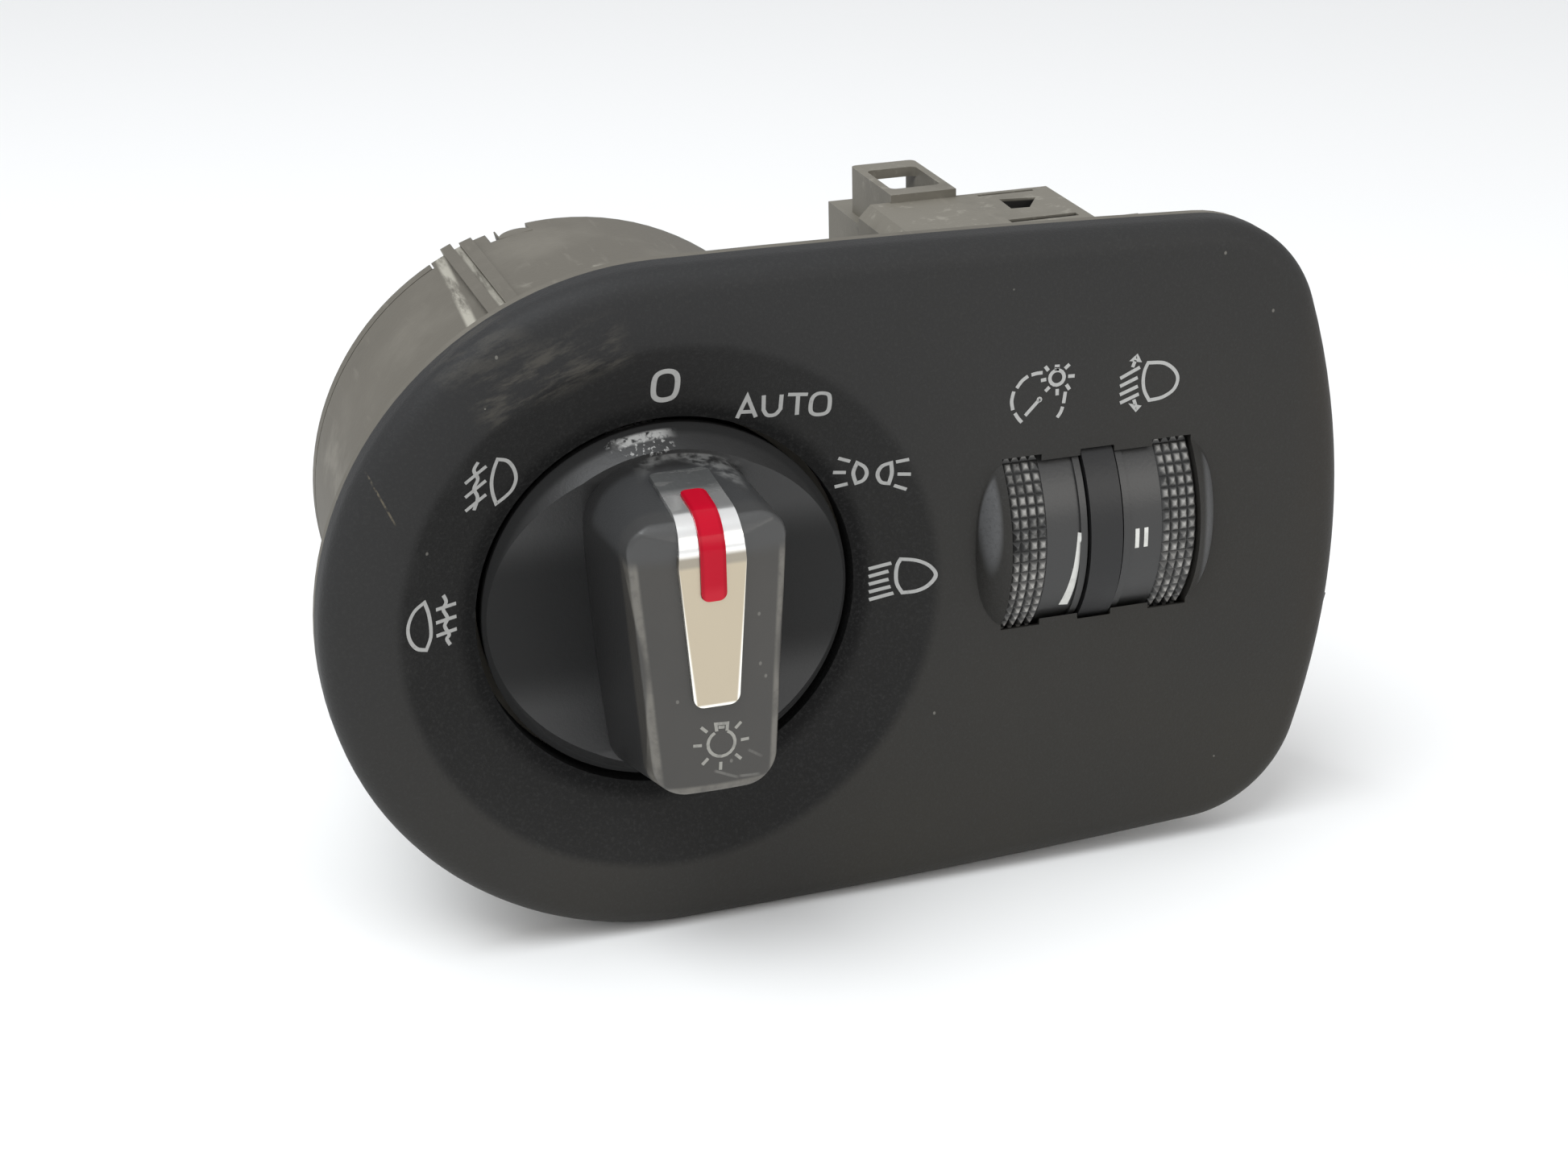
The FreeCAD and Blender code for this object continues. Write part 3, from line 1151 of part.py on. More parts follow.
def make_wheel_divider():
    left = DIVIDER_X - DIVIDER_WIDTH / 2
    right = DIVIDER_X + DIVIDER_WIDTH / 2
    plate = cross_rod(DIVIDER_RADIUS, left, right)
    tail = block(left, right, WHEEL_DEPTH, MODULE_CHAMBER_BACK - MODULE_WALL - 0.05,
                 WHEEL_Z - TAIL_HALF_HEIGHT, WHEEL_Z + TAIL_HALF_HEIGHT)
    recess = TRACK_RECESS + 0.02
    beds = [cross_rod(TRACK_OUTER + 0.05, left - OVER, left + recess),
            cross_rod(TRACK_OUTER + 0.05, right - recess, right + OVER)]
    return fused(plate, tail).cut([cross_rod(AXLE_RADIUS + AXLE_FIT_GAP, left - OVER, right + OVER), *beds])


def resistor_track(side):
    face = DIVIDER_X + side * DIVIDER_WIDTH / 2
    left, right = sorted((face, face - side * TRACK_RECESS))
    return cross_rod(TRACK_OUTER, left, right).cut(cross_rod(TRACK_INNER, left - OVER, right + OVER))


def wheel_wiper(side):
    # A bent leaf from the wheel's web to the track, through the open side of the wheel.
    near = wheel_near(side)
    web = near + side * (WHEEL_WEB_INSET - LEAF_WALL / 2 - 0.02)
    touch = near - side * (WHEEL_GAP - LEAF_WALL / 2 - 0.05)
    root = WHEEL_DEPTH + TRACK_INNER - 0.4
    path = [(web, root), (web, root + 1.6), (touch, root + 4.6), (touch, root + 6.0)]
    return plan_prism(leaf_outline(path, LEAF_WALL), WHEEL_Z - 1.5, WHEEL_Z + 1.5)


def make_levelling_spring():
    # A leaf behind the levelling wheel that holds it at its steps.
    back = MODULE_CHAMBER_BACK - MODULE_WALL - LEAF_WALL / 2 - 0.02
    near = wheel_near(1) + SMOOTH_WIDTH + 0.8
    face = WHEEL_DEPTH + KNURL_RADIUS + LEAF_WALL / 2 + 0.1
    reach = TAIL_HALF_HEIGHT
    path = [(back, WHEEL_Z - reach), (back, WHEEL_Z - reach + 3.0), (face, WHEEL_Z - 1.0),
            (face, WHEEL_Z + 1.0), (back, WHEEL_Z + reach - 3.0), (back, WHEEL_Z + reach)]
    return side_prism(leaf_outline(path, LEAF_WALL), near, near + 2.6)


# Thumbwheel module housing

def make_module_housing():
    wall = MODULE_WALL
    left = MODULE_LEFT
    low = MODULE_SHELF_Z - wall
    chamber = block(left, MODULE_RIGHT, FLANGE_BACK, MODULE_CHAMBER_BACK, MODULE_BOTTOM, MODULE_SHELF_Z + 0.5)
    upper = prism([(left, low), (MODULE_STEP_X, low), (MODULE_STEP_X, MODULE_TOP),
                   (left + MODULE_CHAMFER, MODULE_TOP), (left, MODULE_TOP - MODULE_CHAMFER)],
                  FLANGE_BACK, MODULE_BACK)
    step = plan_prism([(MODULE_STEP_X - OVER, FLANGE_BACK), (MODULE_RIGHT, FLANGE_BACK),
                       (MODULE_RIGHT, MODULE_STEP_BACK - 3.0), (MODULE_RIGHT - 0.6, MODULE_STEP_BACK),
                       (MODULE_STEP_X - OVER, MODULE_STEP_BACK)], low, MODULE_TOP)
    bracket = block(BRACKET_LEFT, BRACKET_RIGHT, MODULE_BACK - 2 * OVER, BRACKET_BACK, low, BRACKET_TOP)
    outside = fused(chamber, upper, step, bracket)
    room_front = FLANGE_BACK - OVER
    inner_top = MODULE_TOP - wall
    wheel_room = block(left + wall, MODULE_RIGHT - wall, room_front, MODULE_CHAMBER_BACK - wall,
                       MODULE_BOTTOM + wall, low)
    board_room = block(left + wall, MODULE_RIGHT - wall, room_front, MODULE_STEP_BACK - wall,
                       MODULE_SHELF_Z, inner_top)
    side_room = block(left + wall, BRACKET_RIGHT - wall + 0.6, room_front, MODULE_BACK - wall,
                      MODULE_SHELF_Z, inner_top)
    socket = block(BRACKET_RIGHT + 0.5, MODULE_STEP_X - wall, MODULE_STEP_BACK + SOCKET_WALL,
                   MODULE_BACK + OVER, MODULE_SHELF_Z, inner_top)
    bracket_hollow = block(BRACKET_LEFT + BRACKET_WALL, BRACKET_RIGHT - BRACKET_WALL, MODULE_BACK,
                           BRACKET_BACK + OVER, MODULE_SHELF_Z - 0.4, BRACKET_TOP - BRACKET_WALL)
    axle_bore = cross_rod(AXLE_RADIUS + AXLE_FIT_GAP, left + AXLE_SEAT - 0.05, MODULE_RIGHT - AXLE_SEAT + 0.05)
    body = outside.cut([wheel_room, board_room, side_room, socket, bracket_hollow, axle_bore,
                        clip_pocket(-1), clip_pocket(1)])
    root = MODULE_BACK - 0.5
    gusset = side_prism([(root, MODULE_TOP - 0.5), (MODULE_BACK + GUSSET_LENGTH, BRACKET_TOP - 0.2),
                         (root, BRACKET_TOP - 0.2)], BRACKET_LEFT - 0.3, BRACKET_LEFT - 0.3 + GUSSET_WALL)
    body = fused(body, gusset, eye_body())
    return body.cut(latch_slots() + module_pin_holes())


def eye_body():
    low = BRACKET_TOP - 0.3
    frame = block(EYE_LEFT, EYE_RIGHT, MODULE_BACK - 0.5, EYE_BACK, low, EYE_TOP)
    frame = rounded(frame, EYE_CORNER, lambda edge: along_height(edge) and edge.BoundBox.YMin > MODULE_BACK)
    left = EYE_LEFT + EYE_WALL
    right = EYE_RIGHT - EYE_WALL
    hole = block(left, right, EYE_FRONT, EYE_BACK - EYE_BAR, low - OVER, EYE_TOP + OVER)
    hole = rounded(hole, EYE_CORNER, along_height)
    slit = block(left, right, EYE_FRONT + EYE_CORNER, EYE_BACK + OVER, low - OVER, EYE_TOP - EYE_BAR_HEIGHT)
    return frame.cut([hole, slit])


def latch_slots():
    low = MODULE_TOP - MODULE_WALL - 0.5
    high = MODULE_TOP + OVER
    left = BRACKET_RIGHT + 1.0
    right = MODULE_STEP_X - 1.4
    middle = (left + right) / 2
    front_slot = block(left, right, *LATCH_FRONT_SLOT, low, high)
    back_slot = block(left + 0.6, right - 0.8, *LATCH_BACK_SLOT, low, high)
    pocket = plan_prism([(middle - 1.9, 32.4), (middle + 2.5, 31.6), (middle + 0.2, 27.8),
                         (middle - 2.1, 28.0)], low, high)
    return [front_slot, back_slot, pocket]


def module_pin_places():
    middle = (BRACKET_RIGHT + 0.5 + MODULE_STEP_X - MODULE_WALL) / 2
    return [(middle + column * MODULE_PIN_PITCH, MODULE_SHELF_Z + MODULE_PIN_RISE + side * MODULE_PIN_ROW)
            for side in (-1, 1) for column in (-1, 0, 1)]


def module_pin_holes():
    front = MODULE_STEP_BACK - MODULE_WALL - OVER
    back = MODULE_STEP_BACK + SOCKET_WALL + OVER
    return [square_pin(x, z, front, back, PIN_GAP) for x, z in module_pin_places()]


def make_module_pins():
    return Part.makeCompound([square_pin(x, z, MODULE_BOARD_FRONT - 0.6, MODULE_STEP_BACK + MODULE_PIN_LENGTH)
                              for x, z in module_pin_places()])


def make_module_board():
    back = MODULE_BOARD_FRONT + MODULE_BOARD_WALL
    inset = MODULE_WALL + 0.1
    board = block(MODULE_LEFT + inset, MODULE_RIGHT - inset, MODULE_BOARD_FRONT, back,
                  MODULE_SHELF_Z + 0.1, MODULE_TOP - inset)
    return board.cut([square_pin(x, z, MODULE_BOARD_FRONT - OVER, back + OVER, PIN_BOARD_GAP)
                      for x, z in module_pin_places()])


# Every piece by its name

PIECES = {
    "fascia": make_fascia,
    "carrier": make_carrier,
    "symbol_light_guide": make_light_guide,
    "symbol_lamps": make_symbol_lamps,
    "drum_end_cap": make_end_cap,
    "switch_board": make_switch_board,
    "switch_tracks": make_switch_tracks,
    "terminal_pins": make_terminal_pins,
    "detent_ring": make_detent_ring,
    "rotor": make_rotor,
    "rotor_wipers": make_rotor_wipers,
    "detent_balls": make_detent_balls,
    "detent_springs": make_detent_springs,
    "push_washer": make_push_washer,
    "knob_cap": make_knob_cap,
    "knob_trim": make_knob_trim,
    "pointer_lens": make_pointer_lens,
    "knob_shaft": make_knob_shaft,
    "pointer_light_rod": make_pointer_light_rod,
    "knob_light_guide": make_knob_light_guide,
    "fog_slider": make_fog_slider,
    "fog_wiper": make_fog_wiper,
    "lock_catch": make_lock_catch,
    "catch_spring": make_catch_spring,
    "module_housing": make_module_housing,
    "wheel_axle": make_wheel_axle,
    "wheel_divider": make_wheel_divider,
    "dimmer_wheel": lambda: wheel_body(wheel_near(-1), -1),
    "levelling_wheel": lambda: wheel_body(wheel_near(1), 1),
    "dimmer_track": lambda: resistor_track(-1),
    "levelling_track": lambda: resistor_track(1),
    "dimmer_wiper": lambda: wheel_wiper(-1),
    "levelling_wiper": lambda: wheel_wiper(1),
    "levelling_spring": make_levelling_spring,
    "module_board": make_module_board,
    "module_pins": make_module_pins,
}


def export_pieces():
    os.makedirs("parts", exist_ok=True)
    for name, make in PIECES.items():
        shape = make()
        shape.translate(V(0, -SEAT_DEPTH, 0))
        print(name, len(shape.Solids), round(shape.Volume, 1), shape.isValid())
        shape.exportStep("parts/" + name + ".step")


export_pieces()
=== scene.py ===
import math

import bmesh
import bpy
from mathutils import Matrix, Vector
from mathutils.bvhtree import BVHTree


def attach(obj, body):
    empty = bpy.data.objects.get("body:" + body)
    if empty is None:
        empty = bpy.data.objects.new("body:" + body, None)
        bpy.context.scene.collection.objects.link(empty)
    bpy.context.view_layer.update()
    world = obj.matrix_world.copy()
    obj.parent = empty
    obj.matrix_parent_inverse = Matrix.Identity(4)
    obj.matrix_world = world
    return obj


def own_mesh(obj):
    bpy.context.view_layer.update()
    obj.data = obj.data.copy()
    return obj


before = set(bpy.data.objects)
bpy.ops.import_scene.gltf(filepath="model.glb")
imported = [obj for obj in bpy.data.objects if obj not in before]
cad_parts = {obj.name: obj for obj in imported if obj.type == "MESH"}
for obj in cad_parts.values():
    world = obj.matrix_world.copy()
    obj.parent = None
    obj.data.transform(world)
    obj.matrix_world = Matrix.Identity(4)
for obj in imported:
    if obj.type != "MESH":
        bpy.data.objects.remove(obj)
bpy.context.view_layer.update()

# Fascia
# One black injection-moulded cover with a fine satin grain, snapped on to the carrier. It is scuffed
# above the dish, scratched at its left end and dusty. A painted warm reflection browns its lower right,
# painted shade darkens the dish and rings the knob's hole, and the cheeks beside the wheels carry painted
# highlights.

# Sizes and places are in millimetres: x to the right, y into the dashboard and z up from the knob's axis.
MM = 0.001
FRONT_Y = -6.5
DISH_RADIUS = 31.5
KNOB_HOLE_RADIUS = 22.0
WARM_REFLECTION_END_X = (74.0, 83.0)
LEFT_CHEEK_HIGHLIGHT = ((36.7, 7.8), 1.3, 8.5)
RIGHT_CHEEK_HIGHLIGHT = ((64.3, 3.0), 1.7, 12.5)
SCUFF_BAND = ((-22.5, 26.5), (-3.5, 33.2), 4.2)
SCUFF_CLOUD = ((-20.5, 32.5), 7.5, 4.5)
SCRATCH = ((-33.1, 21.0), (-30.4, 14.7), 0.14)
FASCIA_SPECKS = ((30.5, -17.1), (71.8, 27.0), (-18.5, 32.2), (-27.2, 10.8), (65.5, 34.5))
GRAIN_SCALE = 2600.0
WELD_REACH = 0.002

SATIN_BLACK = (0.0195, 0.0195, 0.0200)
WARM_REFLECTION_BLACK = (0.0285, 0.0262, 0.0215)
END_WARM_REFLECTION = (0.040, 0.030, 0.021)
DISH_SHADE_BLACK = (0.0085, 0.0083, 0.0080)
GAP_SHADE_BLACK = (0.003, 0.003, 0.003)
CHEEK_HIGHLIGHT_GREY = (0.095, 0.096, 0.098)
GRAIN_GREY = (0.036, 0.036, 0.035)
SCUFF_GREY = (0.082, 0.076, 0.064)
SCRATCH_GREY = (0.14, 0.12, 0.085)
DUST_GREY = (0.15, 0.145, 0.13)


class Field:
    """A socket that adds its Math node when it is used in an expression."""

    def __init__(self, finish, socket):
        self.finish = finish
        self.socket = socket

    def __add__(self, other):
        return self.finish.maths("ADD", self, other)

    __radd__ = __add__

    def __sub__(self, other):
        return self.finish.maths("SUBTRACT", self, other)

    def __rsub__(self, other):
        return self.finish.maths("SUBTRACT", other, self)

    def __mul__(self, other):
        return self.finish.maths("MULTIPLY", self, other)

    __rmul__ = __mul__

    def __truediv__(self, other):
        return self.finish.maths("DIVIDE", self, other)

    def __pow__(self, other):
        return self.finish.maths("POWER", self, other)

    def __abs__(self):
        return self.finish.maths("ABSOLUTE", self)

    def most(self, other):
        return self.finish.maths("MAXIMUM", self, other)

    def between(self, low, high):
        """0 at low, 1 at high, with a soft turn at both ends."""
        return self.finish.node("ShaderNodeMapRange", settings={"interpolation_type": "SMOOTHSTEP"},
                                values={"Value": self, "From Min": low, "From Max": high})

    def near(self, middle, reach):
        """1 at the middle, falling softly to 0 at that reach on both sides."""
        return 1 - abs(self - middle).between(reach * 0.4, reach)


class Finish:
    """A procedural material. Its x, y and z are the place on the piece in millimetres."""

    def __init__(self, name, colour, roughness, **fixed):
        self.material = bpy.data.materials.new(name)
        self.material.use_nodes = True
        self.tree = self.material.node_tree
        self.shader = self.tree.nodes["Principled BSDF"]
        self.colour = colour
        self.roughness = roughness
        self.height = None
        for socket, value in fixed.items():
            self.shader.inputs[socket.replace("_", " ")].default_value = value
        self.place = self.node("ShaderNodeTexCoord", output="Object")
        self.x, self.y, self.z = (
            self.node("ShaderNodeSeparateXYZ", output=axis, values={"Vector": self.place}) / MM
            for axis in "XYZ")

    def node(self, kind, *, output=0, settings=None, values=None):
        """Adds any node: its settings first, then the values or links of its sockets."""
        node = self.tree.nodes.new(kind)
        for setting, value in (settings or {}).items():
            setattr(node, setting, value)
        for socket, value in (values or {}).items():
            if isinstance(value, Field):
                self.tree.links.new(value.socket, node.inputs[socket])
            else:
                node.inputs[socket].default_value = value
        return Field(self, node.outputs[output])

    def maths(self, operation, *terms):
        return self.node("ShaderNodeMath", settings={"operation": operation}, values=dict(enumerate(terms)))

    def noise(self, scale, detail=3.0, roughness=0.55, stretch=(1, 1, 1), turn=0.0):
        """A noise of that many cells a metre, which may be drawn out after a turn in degrees about Y."""
        rotation = (0, math.radians(turn), 0)
        place = self.node("ShaderNodeMapping", settings={"vector_type": "TEXTURE"},
                          values={"Vector": self.place, "Scale": stretch, "Rotation": rotation})
        return self.node("ShaderNodeTexNoise", output="Fac",
                         values={"Vector": place, "Scale": scale, "Detail": detail, "Roughness": roughness})

    def specks(self, scale, size, share):
        """Small round specks in a share of the cells of a random grid."""
        cells = {"Vector": self.place, "Scale": scale}
        gap = self.node("ShaderNodeTexVoronoi", output="Distance", values=cells)
        colour = self.node("ShaderNodeTexVoronoi", output="Color", values=cells)
        chance = self.node("ShaderNodeSeparateColor", output="Red", values={"Color": colour})
        return (1 - gap.between(size * 0.6, size)) * chance.between(1 - share, 1 - share * 0.8)

    def streak(self, start, end, width):
        """A mask along a straight mark between two points (x, z) of the front."""
        run = (end[0] - start[0], end[1] - start[1])
        length = math.hypot(*run)
        along = ((self.x - start[0]) * run[0] + (self.z - start[1]) * run[1]) / length
        across = ((self.x - start[0]) * -run[1] + (self.z - start[1]) * run[0]) / length
        ends = along.between(0, length * 0.15) * (1 - along.between(length * 0.85, length))
        return ends * across.near(0, width)

    def patch(self, centre, across, upward):
        """A soft oval mask about a point (x, z) of the front."""
        gap = ((self.x - centre[0]) / across) ** 2 + ((self.z - centre[1]) / upward) ** 2
        return 1 - gap.between(0.25, 1.0)

    def paint(self, mask, colour, roughness=None):
        """Lays a second colour, and a second roughness, over the finish where the mask is 1."""
        values = {"Factor": mask}
        # Sockets 6 and 7 of a Mix node are its two colours, and its output 2 is the mixed one.
        for socket, shade in ((6, self.colour), (7, colour)):
            values[socket] = shade if isinstance(shade, Field) else (*shade, 1.0)
        self.colour = self.node("ShaderNodeMix", output=2, settings={"data_type": "RGBA"}, values=values)
        if roughness is not None:
            self.roughness = self.roughness + mask * (roughness - self.roughness)

    def raise_by(self, field, depth):
        """Adds a field of that depth in millimetres to the finish's relief."""
        layer = field * (depth * MM)
        self.height = layer if self.height is None else self.height + layer

    def done(self):
        for socket, value in (("Base Color", self.colour), ("Roughness", self.roughness)):
            if isinstance(value, Field):
                self.tree.links.new(value.socket, self.shader.inputs[socket])
            else:
                fixed = (*value, 1.0) if socket == "Base Color" else value
                self.shader.inputs[socket].default_value = fixed
        if self.height is not None:
            relief = {"Height": self.height, "Strength": 1.0, "Distance": 1.0}
            bump = self.node("ShaderNodeBump", values=relief)
            self.tree.links.new(bump.socket, self.shader.inputs["Normal"])
        return self.material


def distance(across, upward):
    return (across ** 2 + upward ** 2) ** 0.5


def dress(name, material, angle=32.0):
    """Gives a CAD node its material, joins its loose triangles and smooths them up to an angle."""
    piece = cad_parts[name]
    piece.data.materials.clear()
    piece.data.materials.append(material)
    piece.data.polygons.foreach_set("use_smooth", [True] * len(piece.data.polygons))
    piece.modifiers.new("weld", "WELD").merge_threshold = WELD_REACH * MM
    piece.modifiers.new("split", "EDGE_SPLIT").split_angle = math.radians(angle)


satin = Finish("fascia_satin", SATIN_BLACK, 0.56, Specular_IOR_Level=0.22)
cloud = satin.noise(28.0, detail=2.0).between(0.2, 0.8)
# Painted warm reflection: browner towards the lower right, and in clouds at the right end.
satin.paint((0.45 - satin.z / 90 + satin.x / 250) * (0.55 + 0.45 * cloud), WARM_REFLECTION_BLACK)
satin.paint(satin.x.between(*WARM_REFLECTION_END_X) * cloud * 0.7, END_WARM_REFLECTION)
from_knob = distance(satin.x, satin.z)
# Painted shade: the dish is darker than the flat front, more so towards its lower left.
dish_shade = 1 - from_knob.between(DISH_RADIUS - 1.2, DISH_RADIUS + 0.3)
satin.paint(dish_shade * (0.85 - (satin.z + satin.x * 0.2) / 100), DISH_SHADE_BLACK)
# Painted shade: a black ring round the knob's hole, fading outwards.
satin.paint(1 - from_knob.between(KNOB_HOLE_RADIUS + 0.7, KNOB_HOLE_RADIUS + 2.8), GAP_SHADE_BLACK, 0.8)
# Painted highlights on the raised cheeks beside the wheels.
cheek_highlight = satin.patch(*LEFT_CHEEK_HIGHLIGHT).most(satin.patch(*RIGHT_CHEEK_HIGHLIGHT))
on_cheek = 1 - satin.y.between(FRONT_Y - 0.5, FRONT_Y - 0.1)
satin.paint(cheek_highlight * on_cheek * 0.9, CHEEK_HIGHLIGHT_GREY, 0.4)
grain = satin.noise(GRAIN_SCALE, detail=4.0, roughness=0.7)
satin.paint(grain.between(0.45, 0.75) * 0.4, GRAIN_GREY)
satin.raise_by(grain, 0.06)
scuff_lines = satin.noise(620.0, detail=5.0, roughness=0.7, stretch=(4.0, 1.0, 1.0), turn=-20.0)
scuffs = (satin.streak(*SCUFF_BAND) * 0.55).most(satin.patch(*SCUFF_CLOUD) * 0.3)
satin.paint(scuffs * scuff_lines.between(0.43, 0.64), SCUFF_GREY, 0.62)
satin.paint(satin.streak(*SCRATCH) * satin.noise(1600.0).between(0.35, 0.6) * 0.7, SCRATCH_GREY)
for speck in FASCIA_SPECKS:
    satin.paint(satin.patch(speck, 0.20, 0.26) * 0.8, DUST_GREY)
satin.paint(satin.specks(300.0, 0.045, 0.035), DUST_GREY, 0.75)
satin.roughness = satin.roughness + (satin.noise(60.0) - 0.5) * 0.10
dress("fascia", satin.done())

# Printed symbols
# Pale grey marks pad-printed on the fascia: the knob's stops and fog signs round the dish, and one
# sign over each thumbwheel. Each stroke is a flat ribbon laid on the moulding's front.

PRINT_GREY = (0.36, 0.36, 0.35)
THIN_PRINT_GREY = (0.17, 0.17, 0.165)
PRINT_LIFT = 0.03
STROKE = 0.42
LONGEST_STEP = 0.7
RAY_START_Y = -100.0


def rounded(points, cuts=5):
    """A smooth stroke through points, closed where it ends on its first point."""
    closed = math.dist(points[0], points[-1]) < 0.01
    before = points[-2] if closed else points[0]
    after = points[1] if closed else points[-1]
    path = [before, *points, after]
    drawn = []
    for a, b, c, d in zip(path, path[1:], path[2:], path[3:]):
        for cut in range(cuts):
            share = cut / cuts
            weights = (-share + 2 * share ** 2 - share ** 3, 2 - 5 * share ** 2 + 3 * share ** 3,
                       share + 4 * share ** 2 - 3 * share ** 3, share ** 3 - share ** 2)
            drawn.append(tuple(
                sum(weight * point[axis] for weight, point in zip(weights, (a, b, c, d))) / 2
                for axis in (0, 1)))
    return drawn + [points[-1]]


def ring(centre, radius, start=0, end=360, steps=16):
    """Points of an arc in degrees, anticlockwise from the right."""
    turns = [math.radians(start + (end - start) * step / steps) for step in range(steps + 1)]
    return [(centre[0] + radius * math.cos(turn), centre[1] + radius * math.sin(turn)) for turn in turns]


def rays(starts, ends):
    return [[start, end] for start, end in zip(starts, ends)]


def ribbons(strokes, width):
    """A flat mesh of ribbons along strokes of points (x, z), or (x, z, share of the width) for a taper."""
    nib = bpy.data.curves.new("nib", "CURVE")
    edge = nib.splines.new("POLY")
    edge.points.add(1)
    edge.points[0].co = (-width / 2 * MM, 0, 0, 1)
    edge.points[1].co = (width / 2 * MM, 0, 0, 1)
    nib_piece = bpy.data.objects.new("nib", nib)
    line = bpy.data.curves.new("strokes", "CURVE")
    line.dimensions = "2D"
    line.fill_mode = "NONE"
    line.bevel_mode = "OBJECT"
    line.bevel_object = nib_piece
    for points in strokes:
        closed = len(points) > 2 and math.dist(points[0][:2], points[-1][:2]) < 0.01
        kept = points[:-1] if closed else points
        spline = line.splines.new("POLY")
        spline.points.add(len(kept) - 1)
        for point, (x, z, *share) in zip(spline.points, kept):
            point.co = (x * MM, z * MM, 0, 1)
            point.radius = share[0] if share else 1.0
        spline.use_cyclic_u = closed
    line_piece = bpy.data.objects.new("strokes", line)
    bpy.context.collection.objects.link(line_piece)
    bpy.context.view_layer.update()
    drawn = line_piece.evaluated_get(bpy.context.evaluated_depsgraph_get())
    mesh = bpy.data.meshes.new_from_object(drawn)
    bpy.data.objects.remove(line_piece)
    bpy.data.objects.remove(nib_piece)
    return mesh


def print_on(name, carrier, body, strokes, centre, material, width=STROKE):
    """Lays strokes on the front of a CAD node, centred at (x, z)."""
    mesh = ribbons(strokes, width)
    form = bmesh.new()
    form.from_mesh(mesh)
    long_edges = [edge for edge in form.edges if edge.calc_length() > LONGEST_STEP * MM]
    bmesh.ops.subdivide_edges(form, edges=long_edges, cuts=4, use_grid_fill=True)
    skin = BVHTree.FromObject(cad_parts[carrier], bpy.context.evaluated_depsgraph_get())
    for vert in form.verts:
        x = vert.co.x + centre[0] * MM
        z = vert.co.y + centre[1] * MM
        hit = skin.ray_cast(Vector((x, RAY_START_Y * MM, z)), Vector((0, 1, 0)))[0]
        vert.co = Vector((x, hit.y - PRINT_LIFT * MM, z))
    bmesh.ops.recalc_face_normals(form, faces=form.faces)
    if sum(face.normal.y for face in form.faces) > 0:
        bmesh.ops.reverse_faces(form, faces=form.faces)
    form.to_mesh(mesh)
    form.free()
    mesh.materials.clear()
    mesh.materials.append(material)
    piece = bpy.data.objects.new(name, mesh)
    bpy.context.collection.objects.link(piece)
    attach(piece, body)


printed = Finish("print_grey", PRINT_GREY, 0.6)
printed.paint(printed.noise(1500.0, detail=5.0).between(0.55, 0.75) * 0.35, THIN_PRINT_GREY)
print_grey = printed.done()

SIGN_ZERO = [
    rounded([(-0.1, 1.85), (0.85, 1.6), (1.3, 0.8), (1.3, -0.7), (0.9, -1.6), (-0.1, -1.85), (-0.9, -1.6),
             (-1.3, -0.9), (-1.3, 0.75), (-0.95, 1.55), (-0.1, 1.85)]),
]
SIGN_AUTO = [
    [(-5.0, -1.3), (-4.0, 1.4), (-2.9, -1.35)], [(-4.6, -0.55), (-3.2, -0.6)],
    [(-2.2, 1.4), *rounded([(-2.1, -0.5), (-1.65, -1.2), (-0.8, -1.2), (-0.25, -0.5)]), (-0.25, 1.35)],
    [(0.45, 1.3), (2.6, 1.2)], [(1.55, 1.2), (1.6, -1.4)],
    rounded([(3.7, 1.25), (4.7, 1.15), (5.0, 0.5), (5.0, -0.85), (4.55, -1.4), (3.55, -1.45), (3.05, -0.9),
             (3.1, 0.6), (3.7, 1.25)]),
]
SIGN_SIDE_LIGHTS = [
    rounded([(-1.6, 1.4), (-0.8, 0.85), (-0.5, 0.0), (-0.85, -0.85), (-1.6, -1.2)])
    + rounded([(-1.6, -1.2), (-1.95, 0.1), (-1.6, 1.4)]),
    rounded([(2.0, 1.35), (1.05, 0.9), (0.65, -0.1), (1.05, -1.1), (1.9, -1.3)])
    + rounded([(1.9, -1.3), (2.15, 0.0), (2.0, 1.35)]),
    *rays([(-2.35, 1.6), (-2.75, 0.2), (-2.5, -1.25)], [(-3.65, 2.05), (-4.15, 0.25), (-3.9, -1.6)]),
    *rays([(2.5, 1.45), (2.75, -0.1), (2.45, -1.55)], [(3.85, 1.8), (4.15, -0.1), (3.8, -2.05)]),
]
SIGN_LOW_BEAM = [
    rounded([(-0.1, 2.5), (1.6, 2.35), (2.95, 1.7), (3.6, 0.6), (2.85, -0.65), (1.6, -1.4), (0.05, -1.65)])
    + rounded([(0.05, -1.65), (-0.5, -0.6), (-0.6, 0.65), (-0.45, 1.75), (-0.1, 2.5)]),
    *rays([(-3.55, 1.3), (-3.55, 0.35), (-3.55, -0.6), (-3.55, -1.55), (-3.55, -2.5)],
          [(-1.1, 2.0), (-1.4, 1.0), (-1.4, 0.0), (-1.2, -0.9), (-0.9, -1.7)]),
]
SIGN_FRONT_FOG = [
    rounded([(0.85, 2.75), (2.0, 2.25), (2.75, 1.1), (3.0, -0.25), (2.55, -1.45), (1.7, -2.2), (0.65, -2.8)])
    + rounded([(0.65, -2.8), (0.25, -1.35), (0.15, 0.1), (0.4, 1.5), (0.85, 2.75)]),
    *rays([(-2.95, 0.65), (-2.95, -1.1), (-2.95, -2.8)], [(-0.45, 2.2), (-0.5, 0.4), (-0.5, -1.35)]),
    rounded([(-1.4, 2.95), (-1.9, 2.05), (-1.45, 0.85), (-1.9, -0.25), (-1.5, -1.5), (-1.95, -2.95)]),
]
